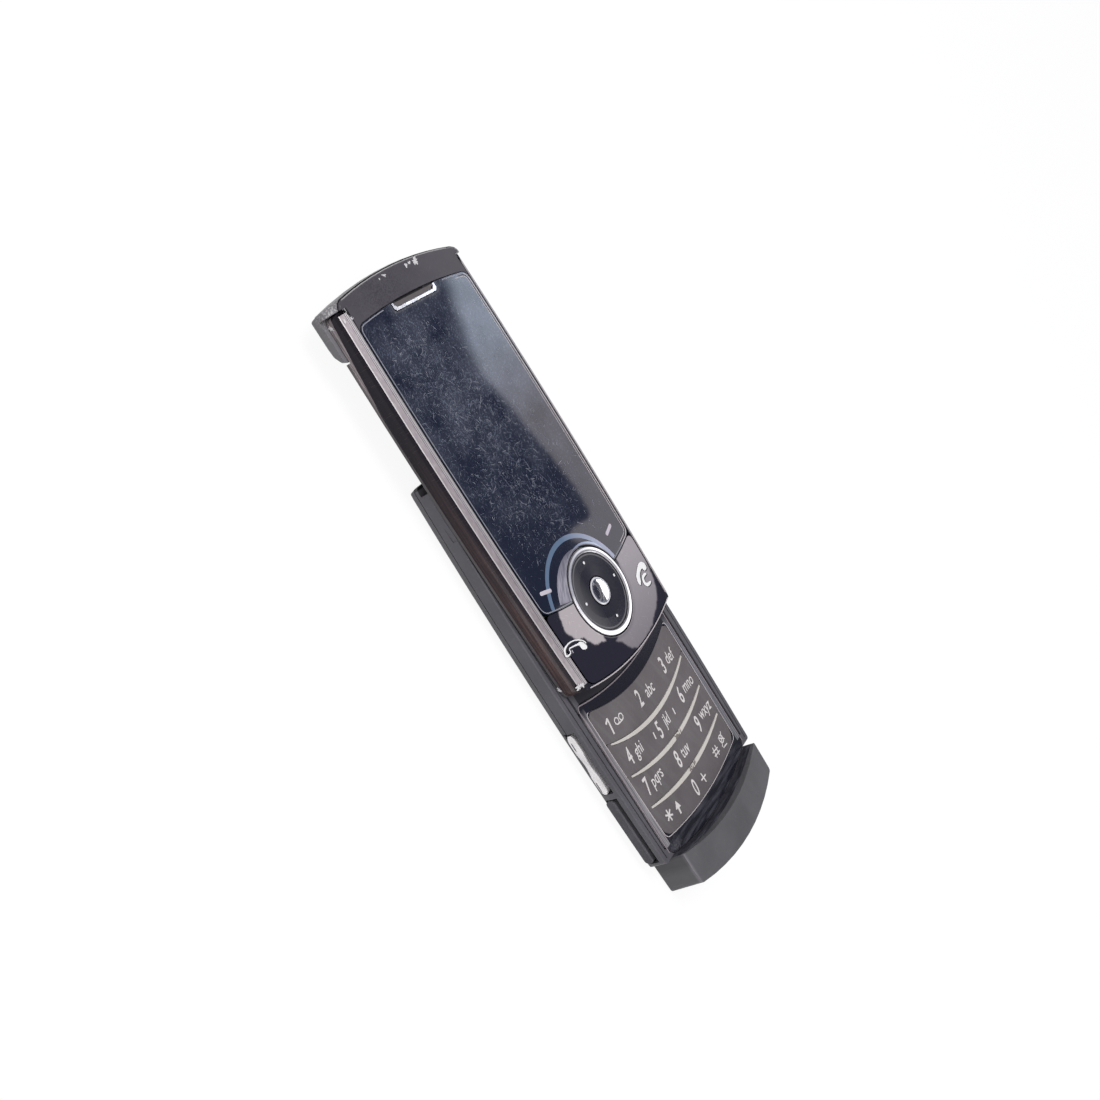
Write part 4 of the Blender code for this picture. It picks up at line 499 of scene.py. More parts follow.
# Lighter towards +x: a painted sheen.
cap_violet.paint(cap_violet.maths("MULTIPLY", cap_violet.ramp("X", -2.0, 18.0), 0.40), (0.105, 0.098, 0.108))
grained = cap_violet.between(cap_violet.noise(0.30, detail=4.0), 0.42, 0.62)
grained = cap_violet.maths("MULTIPLY", grained, cap_violet.near(-8.0, 87.0, 10.9, 13.0))
cap_violet.paint(cap_violet.maths("MULTIPLY", grained, 0.7), (0.022, 0.021, 0.027))
rubber_grey = satin("rubber_grey", (0.078, 0.076, 0.086), 0.75, dust=0.35)
rubber_grey.paint(rubber_grey.between(rubber_grey.noise(0.7, detail=4.0), 0.60, 0.68, 0.0, 0.5), (0.15, 0.15, 0.15))
rubber_grey.bump(rubber_grey.noise(0.5, detail=4.0), 0.10, 0.8)
key_brown = satin("key_brown", (0.118, 0.105, 0.110), 0.42, dust=0.06, rubs=0.12)
wiped = key_brown.between(key_brown.noise(1.6, stretch=(1, 7, 1), turn=(0, 0, -14), detail=4.0), 0.50, 0.70)
key_brown.paint(key_brown.maths("MULTIPLY", wiped, 0.35), (0.175, 0.178, 0.180))
key_brown.paint(key_brown.maths("MULTIPLY", key_brown.ramp("Y", -28.0, -40.0), 0.35), (0.080, 0.072, 0.078))
ivory = satin("ivory", (0.60, 0.57, 0.53), 0.45, dust=0.0)
worn_ridge = ivory.maths("MAXIMUM", ivory.near(2.0, -25.2, 6.1, 2.6), ivory.near(0.5, -33.1, 6.1, 2.8))
worn_ridge = ivory.maths("MULTIPLY", worn_ridge, ivory.between(ivory.noise(0.5, detail=2.0), 0.42, 0.52))
ivory.paint(ivory.between(worn_ridge, 0.25, 0.45), (0.19, 0.17, 0.155))

# %% [markdown]
# ### Gloss plastic
# The window, the panel below it and the rails are polished. Polished plastic is never even: fine haze from wiping makes
# the reflections soft in places. Some reflections are painted on: a red-brown sheen low down on the rails, a pale wedge
# near their upper end and a highlight on their lip, soft streaks on the lower bezel and highlight bands on its sides, a
# blotchy reflection on the window, and a paler left side on the nav disc.


# %% Gloss plastics
def gloss(name, colour, roughness, specular=0.5, metallic=0.0, haze=0.06):
    finish = Finish(name, colour, roughness, metallic, specular)
    wiped = finish.noise(4.0, stretch=(1, 3, 1), detail=4.0)
    finish.roughen(wiped, roughness, roughness + haze)
    return finish


window_dark = gloss("window_dark", (0.009, 0.013, 0.028), 0.02, haze=0.03)
# A blotchy painted reflection on the window, lighter towards the top; the fine flecks on it are brightest where it is.
haze = window_dark.between(window_dark.noise(7.0, detail=5.0), 0.36, 0.66)
flecks = window_dark.between(window_dark.noise(0.20, stretch=(1, 2, 1), turn=(0, 0, 25), detail=2.0), 0.54, 0.70)
flecks = window_dark.maths("MULTIPLY", flecks, window_dark.ramp("Y", 16.0, 66.0))
window_dark.paint(window_dark.maths("MULTIPLY", haze, window_dark.ramp("Y", 20.0, 62.0)), (0.046, 0.052, 0.074))
window_dark.paint(window_dark.maths("MULTIPLY", flecks, window_dark.maths("ADD", haze, 0.25)), (0.120, 0.137, 0.190))
panel_mirror = gloss("panel_mirror", (0.185, 0.175, 0.185), 0.008, metallic=1.0, haze=0.008)
for angle in (35, -48):
    marks = panel_mirror.scratches(0.10, angle, 0.72)
    panel_mirror.paint(panel_mirror.maths("MULTIPLY", marks, 0.25), (0.5, 0.48, 0.50))
rail_brown = gloss("rail_brown", (0.012, 0.010, 0.015), 0.10, specular=0.20, haze=0.12)
# A red-brown painted sheen low on the rails, strongest towards their lower end.
painted_sheen_band = rail_brown.maths("MULTIPLY", rail_brown.ramp("Y", 62.0, 8.0), rail_brown.ramp("Z", 6.9, 7.6))
painted_sheen_band = rail_brown.maths("MULTIPLY", painted_sheen_band, rail_brown.ramp("Z", 9.7, 8.6))
thready = rail_brown.between(rail_brown.noise(0.30, stretch=(1, 40, 1), detail=3.0), 0.40, 0.60, 0.35, 1.0)
rail_brown.paint(rail_brown.maths("MULTIPLY", painted_sheen_band, thready), (0.092, 0.053, 0.050))
rail_brown.paint(rail_brown.maths("MULTIPLY", rail_brown.scratches(0.10, 90, 0.66), 0.20), (0.16, 0.12, 0.12))
# A pale painted reflection: a wedge low on the rails near their upper end.
split = rail_brown.node("ShaderNodeSeparateXYZ", [(rail_brown.place, 0)])
lean = rail_brown.maths("SUBTRACT", split.outputs["Z"], rail_brown.maths("MULTIPLY", split.outputs["Y"], 0.075))
painted_reflection_wedge = rail_brown.maths("MULTIPLY", rail_brown.between(lean, 2.15 * MM, 2.05 * MM), rail_brown.ramp("Y", 58.0, 66.0))
rail_brown.paint(rail_brown.maths("MULTIPLY", painted_reflection_wedge, thready), (0.33, 0.29, 0.30))
# A painted highlight along the rails' lower lip.
lip = rail_brown.ramp("Z", 7.15, 7.05)
rail_brown.paint(rail_brown.maths("MULTIPLY", lip, 0.75), (0.150, 0.140, 0.145))
rail_brown.paint(rail_brown.maths("MULTIPLY", rail_brown.ramp("Z", 10.45, 10.55), 0.9), (0.018, 0.018, 0.028))
bezel_navy = gloss("bezel_navy", (0.013, 0.013, 0.022), 0.10)
# Soft streaks low on the bezel: painted reflections.
painted_reflection_streaks = bezel_navy.between(bezel_navy.noise(0.9, stretch=(8, 1, 1), detail=5.0), 0.42, 0.66)
painted_reflection_streaks = bezel_navy.maths("MULTIPLY", painted_reflection_streaks, bezel_navy.ramp("Y", -37.0, -40.5))
bezel_navy.paint(bezel_navy.maths("MULTIPLY", painted_reflection_streaks, 0.65), (0.095, 0.095, 0.120))
# Pale lined bands along the bezel's two sides: painted highlights.
lined = bezel_navy.between(bezel_navy.noise(0.22, stretch=(1, 60, 1), detail=2.0), 0.40, 0.60, 0.45, 1.0)
painted_highlight_band = bezel_navy.maths("MULTIPLY", bezel_navy.within("Y", 39.0), bezel_navy.ramp("Y", -4.5, -7.5))
for low, high, colour in ((-19.5, -19.7, (0.33, 0.315, 0.335)), (19.5, 19.7, (0.25, 0.25, 0.28))):
    side = bezel_navy.maths("MULTIPLY", bezel_navy.maths("MULTIPLY", painted_highlight_band, bezel_navy.ramp("X", low, high)), lined)
    bezel_navy.paint(side, colour)
dusty = bezel_navy.maths("MULTIPLY", bezel_navy.near(-19.0, -42.0, 6.1, 4.5),
                         bezel_navy.between(bezel_navy.noise(0.5, detail=5.0), 0.45, 0.75))
bezel_navy.paint(dusty, (0.17, 0.165, 0.18))
disc_charcoal = gloss("disc_charcoal", (0.016, 0.017, 0.028), 0.16)
# Paler towards the left: a painted reflection.
disc_charcoal.paint(disc_charcoal.maths("MULTIPLY", disc_charcoal.ramp("X", -2.5, -8.5), 0.75), (0.130, 0.130, 0.135))
disc_charcoal.paint(disc_charcoal.maths("MULTIPLY", disc_charcoal.ring(0.0, 11.63, 8.2, 0.5), 0.8), (0.20, 0.20, 0.21))
disc_charcoal.paint(disc_charcoal.ring(0.0, 11.63, 8.55, 0.35), (0.004, 0.004, 0.005))

# %% Metals
def bright(name, colour, roughness):
    finish = Finish(name, colour, roughness, metallic=1.0)
    finish.roughen(finish.noise(1.5, detail=3.0), roughness, roughness + 0.08)
    finish.paint(finish.maths("MULTIPLY", finish.scratches(0.08, 70, 0.68), 0.4), tuple(c * 0.55 for c in colour))
    return finish


chrome = bright("chrome", (0.88, 0.88, 0.90), 0.06)
rim_chrome = Finish("rim_chrome", (0.90, 0.89, 0.91), 0.03, metallic=1.0)
rim_chrome.paint(rim_chrome.ring(-0.06, 11.57, 9.86, 0.44), (0.06, 0.06, 0.07))
rim_chrome.paint(rim_chrome.ring(0.09, 11.72, 8.90, 0.62), (0.06, 0.06, 0.07))
rim_chrome.paint(rim_chrome.maths("MULTIPLY", rim_chrome.scratches(0.08, 40, 0.74), 0.3), (0.40, 0.40, 0.42))
rim_chrome.roughen(rim_chrome.noise(1.5, detail=3.0), 0.015, 0.05)
key_chrome = Finish("key_chrome", (0.88, 0.88, 0.90), 0.015, metallic=1.0)
key_chrome.paint(key_chrome.ring(0.0, 11.63, 2.66, 0.16), (0.05, 0.05, 0.06))
volume_chrome = Finish("volume_chrome", (0.93, 0.91, 0.92), 0.16, metallic=0.45)
shaded = volume_chrome.between(volume_chrome.noise(1.3, stretch=(1, 4, 1), detail=3.0), 0.45, 0.65)
volume_chrome.paint(volume_chrome.maths("MULTIPLY", shaded, 0.30), (0.45, 0.43, 0.45))
volume_chrome.roughen(volume_chrome.noise(0.6, detail=3.0), 0.10, 0.24)
strip_pink = Finish("strip_pink", (0.31, 0.275, 0.295), 0.34, metallic=0.5)
strip_pink.roughen(strip_pink.noise(0.6, stretch=(1, 6, 1), detail=3.0), 0.26, 0.44)
worn = strip_pink.between(strip_pink.noise(0.25, stretch=(1, 5, 1), detail=4.0), 0.48, 0.66)
strip_pink.paint(strip_pink.maths("MULTIPLY", worn, 0.5), (0.50, 0.46, 0.48))
strip_pink.paint(strip_pink.between(strip_pink.noise(0.30, stretch=(1, 8, 1), detail=4.0), 0.58, 0.74, 0.0, 0.7),
                 (0.19, 0.16, 0.17))
strip_pink.paint(strip_pink.maths("MULTIPLY", strip_pink.ramp("Y", 14.0, 0.0), 0.55), (0.66, 0.61, 0.63))
# Thin lines along the top of the strips: the pale ones are painted highlights, the dark ones painted shade.
for low, high, share, colour in ((10.60, 10.67, 0.85, (0.045, 0.045, 0.06)), (10.67, 10.74, 0.7, (0.62, 0.60, 0.61)),
                                 (10.75, 10.82, 0.85, (0.045, 0.045, 0.06)), (10.83, 10.95, 0.6, (0.62, 0.60, 0.61))):
    line = strip_pink.maths("MULTIPLY", strip_pink.ramp("Z", low - 0.01, low + 0.01),
                            strip_pink.ramp("Z", high + 0.01, high - 0.01))
    strip_pink.paint(strip_pink.maths("MULTIPLY", line, share), colour)
# A pale painted highlight along the strips' outer, lower edge.
strip_pink.paint(strip_pink.maths("MULTIPLY", strip_pink.ramp("Z", 10.04, 9.99), 0.8), (0.70, 0.67, 0.68))
plain_steel = bright("plain_steel", (0.55, 0.55, 0.57), 0.28)
mesh_brown = bright("mesh_brown", (0.27, 0.25, 0.25), 0.45)
board_green = satin("board_green", (0.02, 0.12, 0.06), 0.4)
battery_wrap = satin("battery_wrap", (0.30, 0.30, 0.32), 0.45)
inner_black = satin("inner_black", (0.02, 0.02, 0.022), 0.5)
clear_amber = gloss("clear_amber", (0.60, 0.52, 0.30), 0.15)

# %% Dress the solids
WORN_BY = {
    "base_shell": shell_grey, "battery_cover": shell_grey, "rear_panel": cap_violet, "end_cap": cap_violet,
    "cap_skirt": skirt_grey, "chin_cap": chin_grey, "front_bezel": bezel_navy, "slider_frame": rail_brown,
    "function_fascia": panel_mirror, "side_strip_left": strip_pink, "side_strip_right": strip_pink,
    "volume_key": volume_chrome, "shutter_key": volume_chrome, "nav_rim": rim_chrome, "centre_key": key_chrome,
    "earpiece_trim": chrome, "nav_disc": disc_charcoal, "nav_pad": rubber_grey, "port_flap": rubber_grey,
    "display_window": window_dark, "camera_window": window_dark, "slide_plate": plain_steel,
    "sim_holder": plain_steel, "port_socket": plain_steel, "vibration_motor": plain_steel,
    "microphone": plain_steel, "volume_switch_up": plain_steel, "volume_switch_down": plain_steel,
    "shutter_switch": plain_steel, "main_board": board_green, "upper_board": board_green,
    "battery": battery_wrap, "loudspeaker": inner_black, "lcd_module": inner_black,
    "camera_module": inner_black, "earpiece_receiver": inner_black, "earpiece_mesh": mesh_brown,
    "dome_sheet": clear_amber, "flex_ribbon": clear_amber, "flash_lens": clear_amber,
}
for name, node in nodes.items():
    finish = WORN_BY.get(name)
    if name.startswith("key_row"):
        finish = key_brown
    elif name.startswith("row_ridge"):
        finish = ivory
    elif "screw" in name:
        finish = plain_steel
    node.data.materials.clear()
    node.data.materials.append(finish.material)
print(len(nodes), "solids dressed")

# %% [markdown]
# ## Printed and raised marks
# The marks on the front are thin: ink, lines of bright metal, and painted highlight and shade lines. Each is a strip
# along a path. A flat strip would look cut from paper, so its middle stands a few hundredths of a millimetre proud and
# its edges don't.


# %% Strips along a path
def strip(name, path, width, z, material, body, closed=False, proud=0.03):
    """A strip along a path on a level: at each path point, half a width to either side across the path.

    The across direction is the path's own direction turned a quarter; the middle line is raised.
    """
    path = np.asarray(path, float)
    if closed:
        forward = np.roll(path, -1, axis=0) - np.roll(path, 1, axis=0)
    else:
        forward = np.gradient(path, axis=0)
    forward /= np.hypot(forward[:, 0], forward[:, 1])[:, None]
    aside = np.stack([-forward[:, 1], forward[:, 0]], axis=1) * (np.asarray(width) / 2).reshape(-1, 1)
    level = np.full(len(path), z)
    rows = np.stack([np.column_stack([path + aside, level]), np.column_stack([path, level + proud]),
                     np.column_stack([path - aside, level])], axis=1)
    return surface(name, rows[:, ::-1], closed, getattr(material, "material", material), body)


def spaced(points, step, closed=True):
    """The same line with points at an even step, by its length along the way."""
    points = np.asarray(points, float)
    if closed:
        points = np.vstack([points, points[:1]])
    length = np.concatenate([[0.0], np.cumsum(np.hypot(*np.diff(points, axis=0).T))])
    even = np.linspace(0.0, length[-1], max(int(length[-1] / step), 4) + 1)
    made = np.column_stack([np.interp(even, length, points[:, 0]), np.interp(even, length, points[:, 1])])
    return made[:-1] if closed else made


def softened(loop, reach):
    """A closed loop with its corners rounded: each point becomes the mean of its neighbours within a reach."""
    turns = range(-reach, reach + 1)
    return sum(np.roll(loop, k, axis=0) for k in turns) / len(turns)


def drawn_in(loop, inset):
    """A closed anticlockwise loop moved inwards by an inset."""
    forward = np.roll(loop, -1, axis=0) - np.roll(loop, 1, axis=0)
    forward /= np.hypot(forward[:, 0], forward[:, 1])[:, None]
    return loop + inset * np.stack([-forward[:, 1], forward[:, 0]], axis=1)


def top_outline(name, centre):
    """A solid's top edge in millimetres, sorted by its angle about a centre."""
    mesh = nodes[name].data
    co = np.empty(len(mesh.vertices) * 3)
    mesh.vertices.foreach_get("co", co)
    co = co.reshape(-1, 3) / MM
    top = co[co[:, 2] > co[:, 2].max() - 0.01][:, :2]
    return top[np.argsort(np.arctan2(top[:, 1] - centre[1], top[:, 0] - centre[0]))]


print("window edge", len(top_outline("display_window", (0, 45))), "points")

# %% [markdown]
# ### Lines that follow an edge
# The window's bevel catches the light as a thin pale line, and so do the edges of the cap and the keypad. These lines
# are painted highlights, strips of their own, because a bevel so narrow would be lost in the mesh; the dark lines
# beside some of them are painted shade.

# %% Edge lines
highlight_line_grey = satin("highlight_line_grey", (0.26, 0.265, 0.30), 0.35, dust=0.0)
highlight_line_pale = satin("highlight_line_pale", (0.52, 0.48, 0.49), 0.35, dust=0.0)
shade_line_dark = satin("shade_line_dark", (0.016, 0.015, 0.020), 0.35, dust=0.0)
highlight_line_mauve = satin("highlight_line_mauve", (0.235, 0.205, 0.225), 0.35, dust=0.0)


def opened(loop, left_out):
    """A closed loop as an open line without the points left out, which follow one another; it starts after them."""
    turned = np.roll(loop, -(np.flatnonzero(left_out & ~np.roll(left_out, -1))[0] + 1), axis=0)
    return turned[:int((~left_out).sum())]


window_edge = spaced(top_outline("display_window", (0, 45)), 0.5)
inner_edge = drawn_in(window_edge, 0.30)
notch = (np.abs(inner_edge[:, 0]) < 10.6) & (inner_edge[:, 1] > 80.0)
strip("window_line", opened(inner_edge, notch), 0.20, FRONT_Z, highlight_line_grey, "slider")
for name, depth, wide, finish in (("window_inner_line", 0.95, 0.16, highlight_line_pale),
                                  ("window_inner_shade_line", 0.62, 0.16, shade_line_dark),
                                  ("window_right_line", 0.30, 0.22, highlight_line_pale)):
    edge = drawn_in(window_edge, depth)
    edge = edge[(edge[:, 0] > 15.0) & (edge[:, 1] > 14.0) & (edge[:, 1] < 83.0)]
    strip(name, edge[np.argsort(edge[:, 1])], wide, FRONT_Z + 0.006, finish, "slider")


def arch(y, radius, x):
    """The height of an arched edge: y in the middle, rising by x squared over twice the radius."""
    return y + x ** 2 / (2 * radius)


half = 19.75
side_y = np.linspace(-37.6, -5.9, 60)
side_x = half + 0.15 - (side_y + 2.0) ** 2 / 2200
low_x = np.linspace(-19.3, 19.3, 60)
keypad = np.vstack([np.column_stack([low_x, arch(-39.65, 95, low_x)]), np.column_stack([side_x, side_y]),
                    np.column_stack([-low_x, arch(-9.6, 51, low_x)]), np.column_stack([-side_x, side_y])[::-1]])
keypad = drawn_in(softened(spaced(keypad, 0.25), 5), -0.10)
on_top = (keypad[:, 1] > arch(-9.6, 51, keypad[:, 0]) - 0.6) & (np.abs(keypad[:, 0]) < 18.9)
strip("keypad_line", opened(keypad, on_top), 0.17, 6.10, highlight_line_pale, "base")
strip("keypad_top_line", opened(keypad, ~on_top), 0.16, 6.10, shade_line_dark, "base")
bezel_x = np.linspace(-20.4, 20.4, 90)
corner_x, corner_y = np.array([21.0, 21.26, 21.26, 21.26]), np.array([-3.85, -4.6, -20.0, -40.0])
bezel_edge = np.vstack([np.column_stack([-corner_x, corner_y])[::-1],
                        np.column_stack([bezel_x, arch(-6.29, 78.0, bezel_x)]), np.column_stack([corner_x, corner_y])])
strip("bezel_line", spaced(bezel_edge, 0.4, closed=False), 0.26, 6.10, highlight_line_mauve, "base")
rim_x = np.linspace(-19.6, 19.6, 90)
rim_path = np.column_stack([rim_x, arch(-3.82, 72.5, rim_x) + 0.13])
strip("slider_rim_line", rim_path, 0.24, 10.75, highlight_line_pale, "slider")
print("keypad line", len(keypad), "points; bezel edge", len(bezel_edge))

# %% [markdown]
# ### Nav surround
# Left of the navigation ring its deep wall shows as a streaked crescent, which is a painted reflection, and a blue arc
# runs round it; a painted glint hugs the ring's upper right. These lie between two curves seen from the ring's middle,
# so one function fills between two curves.


# %% Surround
def between_curves(name, inner, outer, z, material, parts=6):
    """A flat sheet between two curves with the same number of points: point = inner + share (outer - inner)."""
    share = np.linspace(0.0, 1.0, parts)[None, :, None]
    flat = inner[:, None, :] + share * (outer - inner)[:, None, :]
    rows = np.dstack([flat, np.full(flat.shape[:2], z)])
    return surface(name, rows, material=material.material, body="slider")


def circle_points(x, y, radius, angles):
    return np.column_stack([x + radius * np.cos(angles), y + radius * np.sin(angles)])


arc_blue = gloss("arc_blue", (0.105, 0.165, 0.265), 0.25)
# Lighter towards the right: a painted highlight on the printed arc.
arc_blue.paint(arc_blue.ramp("X", -2.0, 9.0), (0.42, 0.45, 0.58))
crescent_painted_reflection = gloss("crescent_painted_reflection", (0.36, 0.345, 0.41), 0.22)
# The crescent is a painted reflection of the ring's dished wall: streaked, and darker at its top.
painted_crescent_streaks = crescent_painted_reflection.between(crescent_painted_reflection.noise(0.30, stretch=(9, 1, 1), turn=(0, 0, 131), detail=3.0), 0.40, 0.62)
crescent_painted_reflection.paint(crescent_painted_reflection.maths("MULTIPLY", painted_crescent_streaks, 0.9), (0.17, 0.165, 0.21))
crescent_painted_reflection.paint(crescent_painted_reflection.maths("MULTIPLY", crescent_painted_reflection.ramp("Y", 19.0, 23.5), 0.8), (0.030, 0.034, 0.065))
glint_lilac = gloss("glint_lilac", (0.20, 0.25, 0.40), 0.2)
glint_lilac.paint(glint_lilac.ramp("X", 1.0, 8.0), (0.62, 0.70, 0.86))
turned = np.linspace(0.0, math.pi, 240)
arc_out, arc_in = circle_points(-3.2, 11.4, 14.55, turned), circle_points(-3.2, 11.4, 13.45, turned)
shown = (arc_in[:, 1] > arch(13.3, 65, arc_in[:, 0]) + 0.35) & (np.hypot(arc_in[:, 0], arc_in[:, 1] - NAV_Y) > 10.2)
arc_in, arc_out = arc_in[shown], arc_out[shown]
between_curves("blue_arc", arc_in, arc_out, FRONT_Z + 0.015, arc_blue)
ring_edge = circle_points(0.0, NAV_Y, 10.18, np.linspace(0.16, math.pi - 0.16, 160))
outward = ring_edge - np.array([0.0, NAV_Y])
outward /= np.hypot(outward[:, 0], outward[:, 1])[:, None]
centre_off = np.array([-2.6, 10.2]) - ring_edge
reach = (outward * centre_off).sum(axis=1)
far = reach ** 2 + 12.4 ** 2 - (centre_off ** 2).sum(axis=1)
wall_edge = ring_edge + outward * (reach + np.sqrt(np.maximum(far, 0)))[:, None]
deep = wall_edge - ring_edge
shown = ((outward * deep).sum(axis=1) > 0.15) & (ring_edge[:, 0] < 4)
shown &= ring_edge[:, 1] > arch(13.3, 65, ring_edge[:, 0]) + 0.45
between_curves("ring_wall", ring_edge[shown], wall_edge[shown], FRONT_Z + 0.010, crescent_painted_reflection)
glint_in = circle_points(0.0, NAV_Y, 10.45, np.linspace(0.27, 1.75, 60))
glint_wide = 0.60 * np.sin(np.linspace(0.15, math.pi - 0.1, 60))[:, None]
between_curves("ring_glint", glint_in, glint_in + glint_wide * (glint_in - np.array([0.0, NAV_Y])) / 10.45,
               FRONT_Z + 0.012, glint_lilac)
print("surround", len(arc_in), "and", int(shown.sum()), "steps round")

# %% [markdown]
# ### Marks on the panel and the ring
# Two rounded bars stand for the soft keys, two handsets for call and hang up, and four dots for the directions.
# A handset is a thick arch with two heavier ends; only its outline is bright. Each is drawn as white brush strokes, and
# a dark stroke beside each, shifted down and to the right, is its painted shadow.

# %% Bars, dots and handsets
soft_white = satin("soft_white", (0.56, 0.52, 0.59), 0.40, dust=0.0)
dot_white = satin("dot_white", (0.85, 0.85, 0.86), 0.35, dust=0.0)


def pill(name, start, end, width, z, material, body):
    """A rounded bar: half the width times the square root of 1 - u squared near its ends, full between."""
    start, end = np.array(start, float), np.array(end, float)
    length = np.hypot(*(end - start))
    share = (1 - np.cos(np.linspace(0.0, math.pi, 30))) / 2
    from_end = np.minimum(share, 1 - share) * length
    round_part = np.clip(from_end / (width / 2), 0.02, 1.0)
    wide = width * np.sqrt(1 - (1 - round_part) ** 2)
    return strip(name, start + share[:, None] * (end - start), wide, z, material, body, proud=0.04)


pill("soft_bar_left", (-17.35, 20.25), (-13.6, 19.25), 0.85, FRONT_Z + 0.03, soft_white, "slider")
pill("soft_bar_right", (12.3, 19.35), (15.7, 20.45), 0.85, FRONT_Z, soft_white, "slider")
DOT_REACH, DOT_RADIUS = 6.68, 0.33
radii = np.linspace(0.0, DOT_RADIUS, 4)[None, :]
turns = np.linspace(0.0, 2 * math.pi, 20, endpoint=False)[:, None]
for word, quarter in (("right", 0), ("up", 1), ("left", 2), ("down", 3)):
    x = DOT_REACH * math.cos(quarter * math.pi / 2) + 0.35
    y = NAV_Y + DOT_REACH * math.sin(quarter * math.pi / 2) + 0.15
    rows = np.dstack([x + radii * np.cos(turns), y + radii * np.sin(turns), 10.84 + 0.0 * radii * turns])
    surface("nav_dot_" + word, rows[:, ::-1], closed=True, material=dot_white.material, body="nav_key")


def brush(name, path, widths, z, material, body):
    """A brush stroke: a strip along a smoothed path whose width runs evenly through the given widths."""
    path = np.asarray(path, float)
    smooth = softened_line(spaced(path, 0.12, closed=False), 2)
    share = np.linspace(0.0, 1.0, len(smooth))
    wide = np.interp(share, np.linspace(0.0, 1.0, len(widths)), widths)
    return strip(name, smooth, wide, z, material, body, proud=0.06)


def softened_line(line, reach):
    """An open line with its corners rounded: means of neighbours, with the end points repeated."""
    padded = np.pad(line, ((reach, reach), (0, 0)), mode="edge")
    return sum(padded[k:k + len(line)] for k in range(2 * reach + 1)) / (2 * reach + 1)


icon_white = satin("icon_white", (0.92, 0.92, 0.93), 0.25, dust=0.0, rubs=0.0)
icon_lilac = satin("icon_lilac", (0.34, 0.33, 0.38), 0.30, dust=0.0, rubs=0.0)
ICON_Z = FRONT_Z + 0.01
ICONS = {
    "send_handset_back": ([(-20.92, 7.1), (-20.8, 7.6), (-20.61, 8.07), (-20.27, 8.50), (-19.50, 8.72), (-18.33, 8.83),
                           (-17.14, 8.69), (-15.90, 8.31), (-14.84, 7.76), (-13.93, 7.09), (-13.50, 6.54),
                           (-13.45, 6.02)], (0.5, 0.5, 0.3, 0.26, 0.26, 0.26, 0.26)),
    "send_handset_grip": ([(-20.85, 7.2), (-20.1, 7.05), (-19.5, 7.05), (-19.0, 7.17), (-18.9, 7.45), (-19.05, 7.77),
                           (-18.7, 7.97), (-17.96, 7.80), (-16.82, 7.53), (-15.72, 7.20), (-15.0, 6.9)],
                          (0.45, 0.26, 0.26, 0.26, 0.34, 0.6)),
    "send_handset_ear": ([(-15.5, 7.35), (-15.0, 6.8), (-14.8, 6.3), (-14.2, 5.75), (-13.7, 5.55)],
                         (0.5, 1.15, 1.7, 1.3, 0.6)),
    "end_handset_back": ([(16.98, 7.60), (17.7, 7.95), (18.0, 8.25), (17.5, 8.75), (16.8, 8.9), (16.1, 8.75),
                          (14.99, 8.27), (13.93, 7.51), (13.5, 6.77), (12.97, 5.82)],
                         (0.5, 1.7, 1.6, 1.3, 1.1, 1.1, 1.3, 1.3, 0.5)),
    "end_handset_grip": ([(17.25, 6.65), (16.6, 6.8), (16.01, 6.79), (15.27, 6.59), (14.93, 6.04), (14.81, 5.31),
                          (15.23, 4.69), (16.30, 4.57), (17.17, 4.67)], (0.3, 0.70, 0.70, 0.85, 0.85, 0.70, 0.4)),
}
for name, (path, widths) in ICONS.items():
    brush(name, path, widths, ICON_Z + 0.05, icon_white.material, "slider")
for name, (path, widths) in ICONS.items():
    shade_path = np.array(path) + (0.22, -0.20)
    brush(name + "_shade", shade_path, np.array(widths) + 0.14, ICON_Z - 0.006, shade_line_dark.material, "slider")
brush("send_handset_glint", [(-18.32, 7.45), (-18.5, 6.63)], (0.2, 0.34, 0.2), ICON_Z + 0.05, icon_lilac.material, "slider")
print("dots, bars and", len(ICONS), "strokes of handsets on the front")

# %% [markdown]
# ### Legends
# Numbers and letters are printed on the keys. Blender's own font, squeezed, is close to the narrow face of such
# keys. A text object is turned into a mesh first, and its points are then moved as one array.


# %% Printed legends
def printed(name, text, centre, em, squeeze, z, body, slant=0.12, weight=0.015):
    """Text as flat ink: centred on its own box, then point = centre + em (squeeze x + slant y, y)."""
    curve = bpy.data.curves.new(name, "FONT")
    curve.body = text
    curve.resolution_u = 4
    curve.offset = weight
    drawn = bpy.data.objects.new(name + "_curve", curve)
    scene.collection.objects.link(drawn)
    mesh = bpy.data.meshes.new_from_object(drawn.evaluated_get(bpy.context.evaluated_depsgraph_get()))
    bpy.data.objects.remove(drawn)
    co = np.empty(len(mesh.vertices) * 3)
    mesh.vertices.foreach_get("co", co)
    co = co.reshape(-1, 3)
    co[:, :2] -= (co[:, :2].min(axis=0) + co[:, :2].max(axis=0)) / 2
    x = centre[0] + em * (squeeze * co[:, 0] + slant * co[:, 1])
    y = centre[1] + em * co[:, 1]
    mesh.vertices.foreach_set("co", (np.column_stack([x, y, np.full_like(x, z)]) * MM).ravel())
    mesh.update()
    mesh.materials.clear()
    mesh.materials.append(legend_ink.material)
    made = bpy.data.objects.new(name, mesh)
    scene.collection.objects.link(made)
    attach(made, body)
    return made


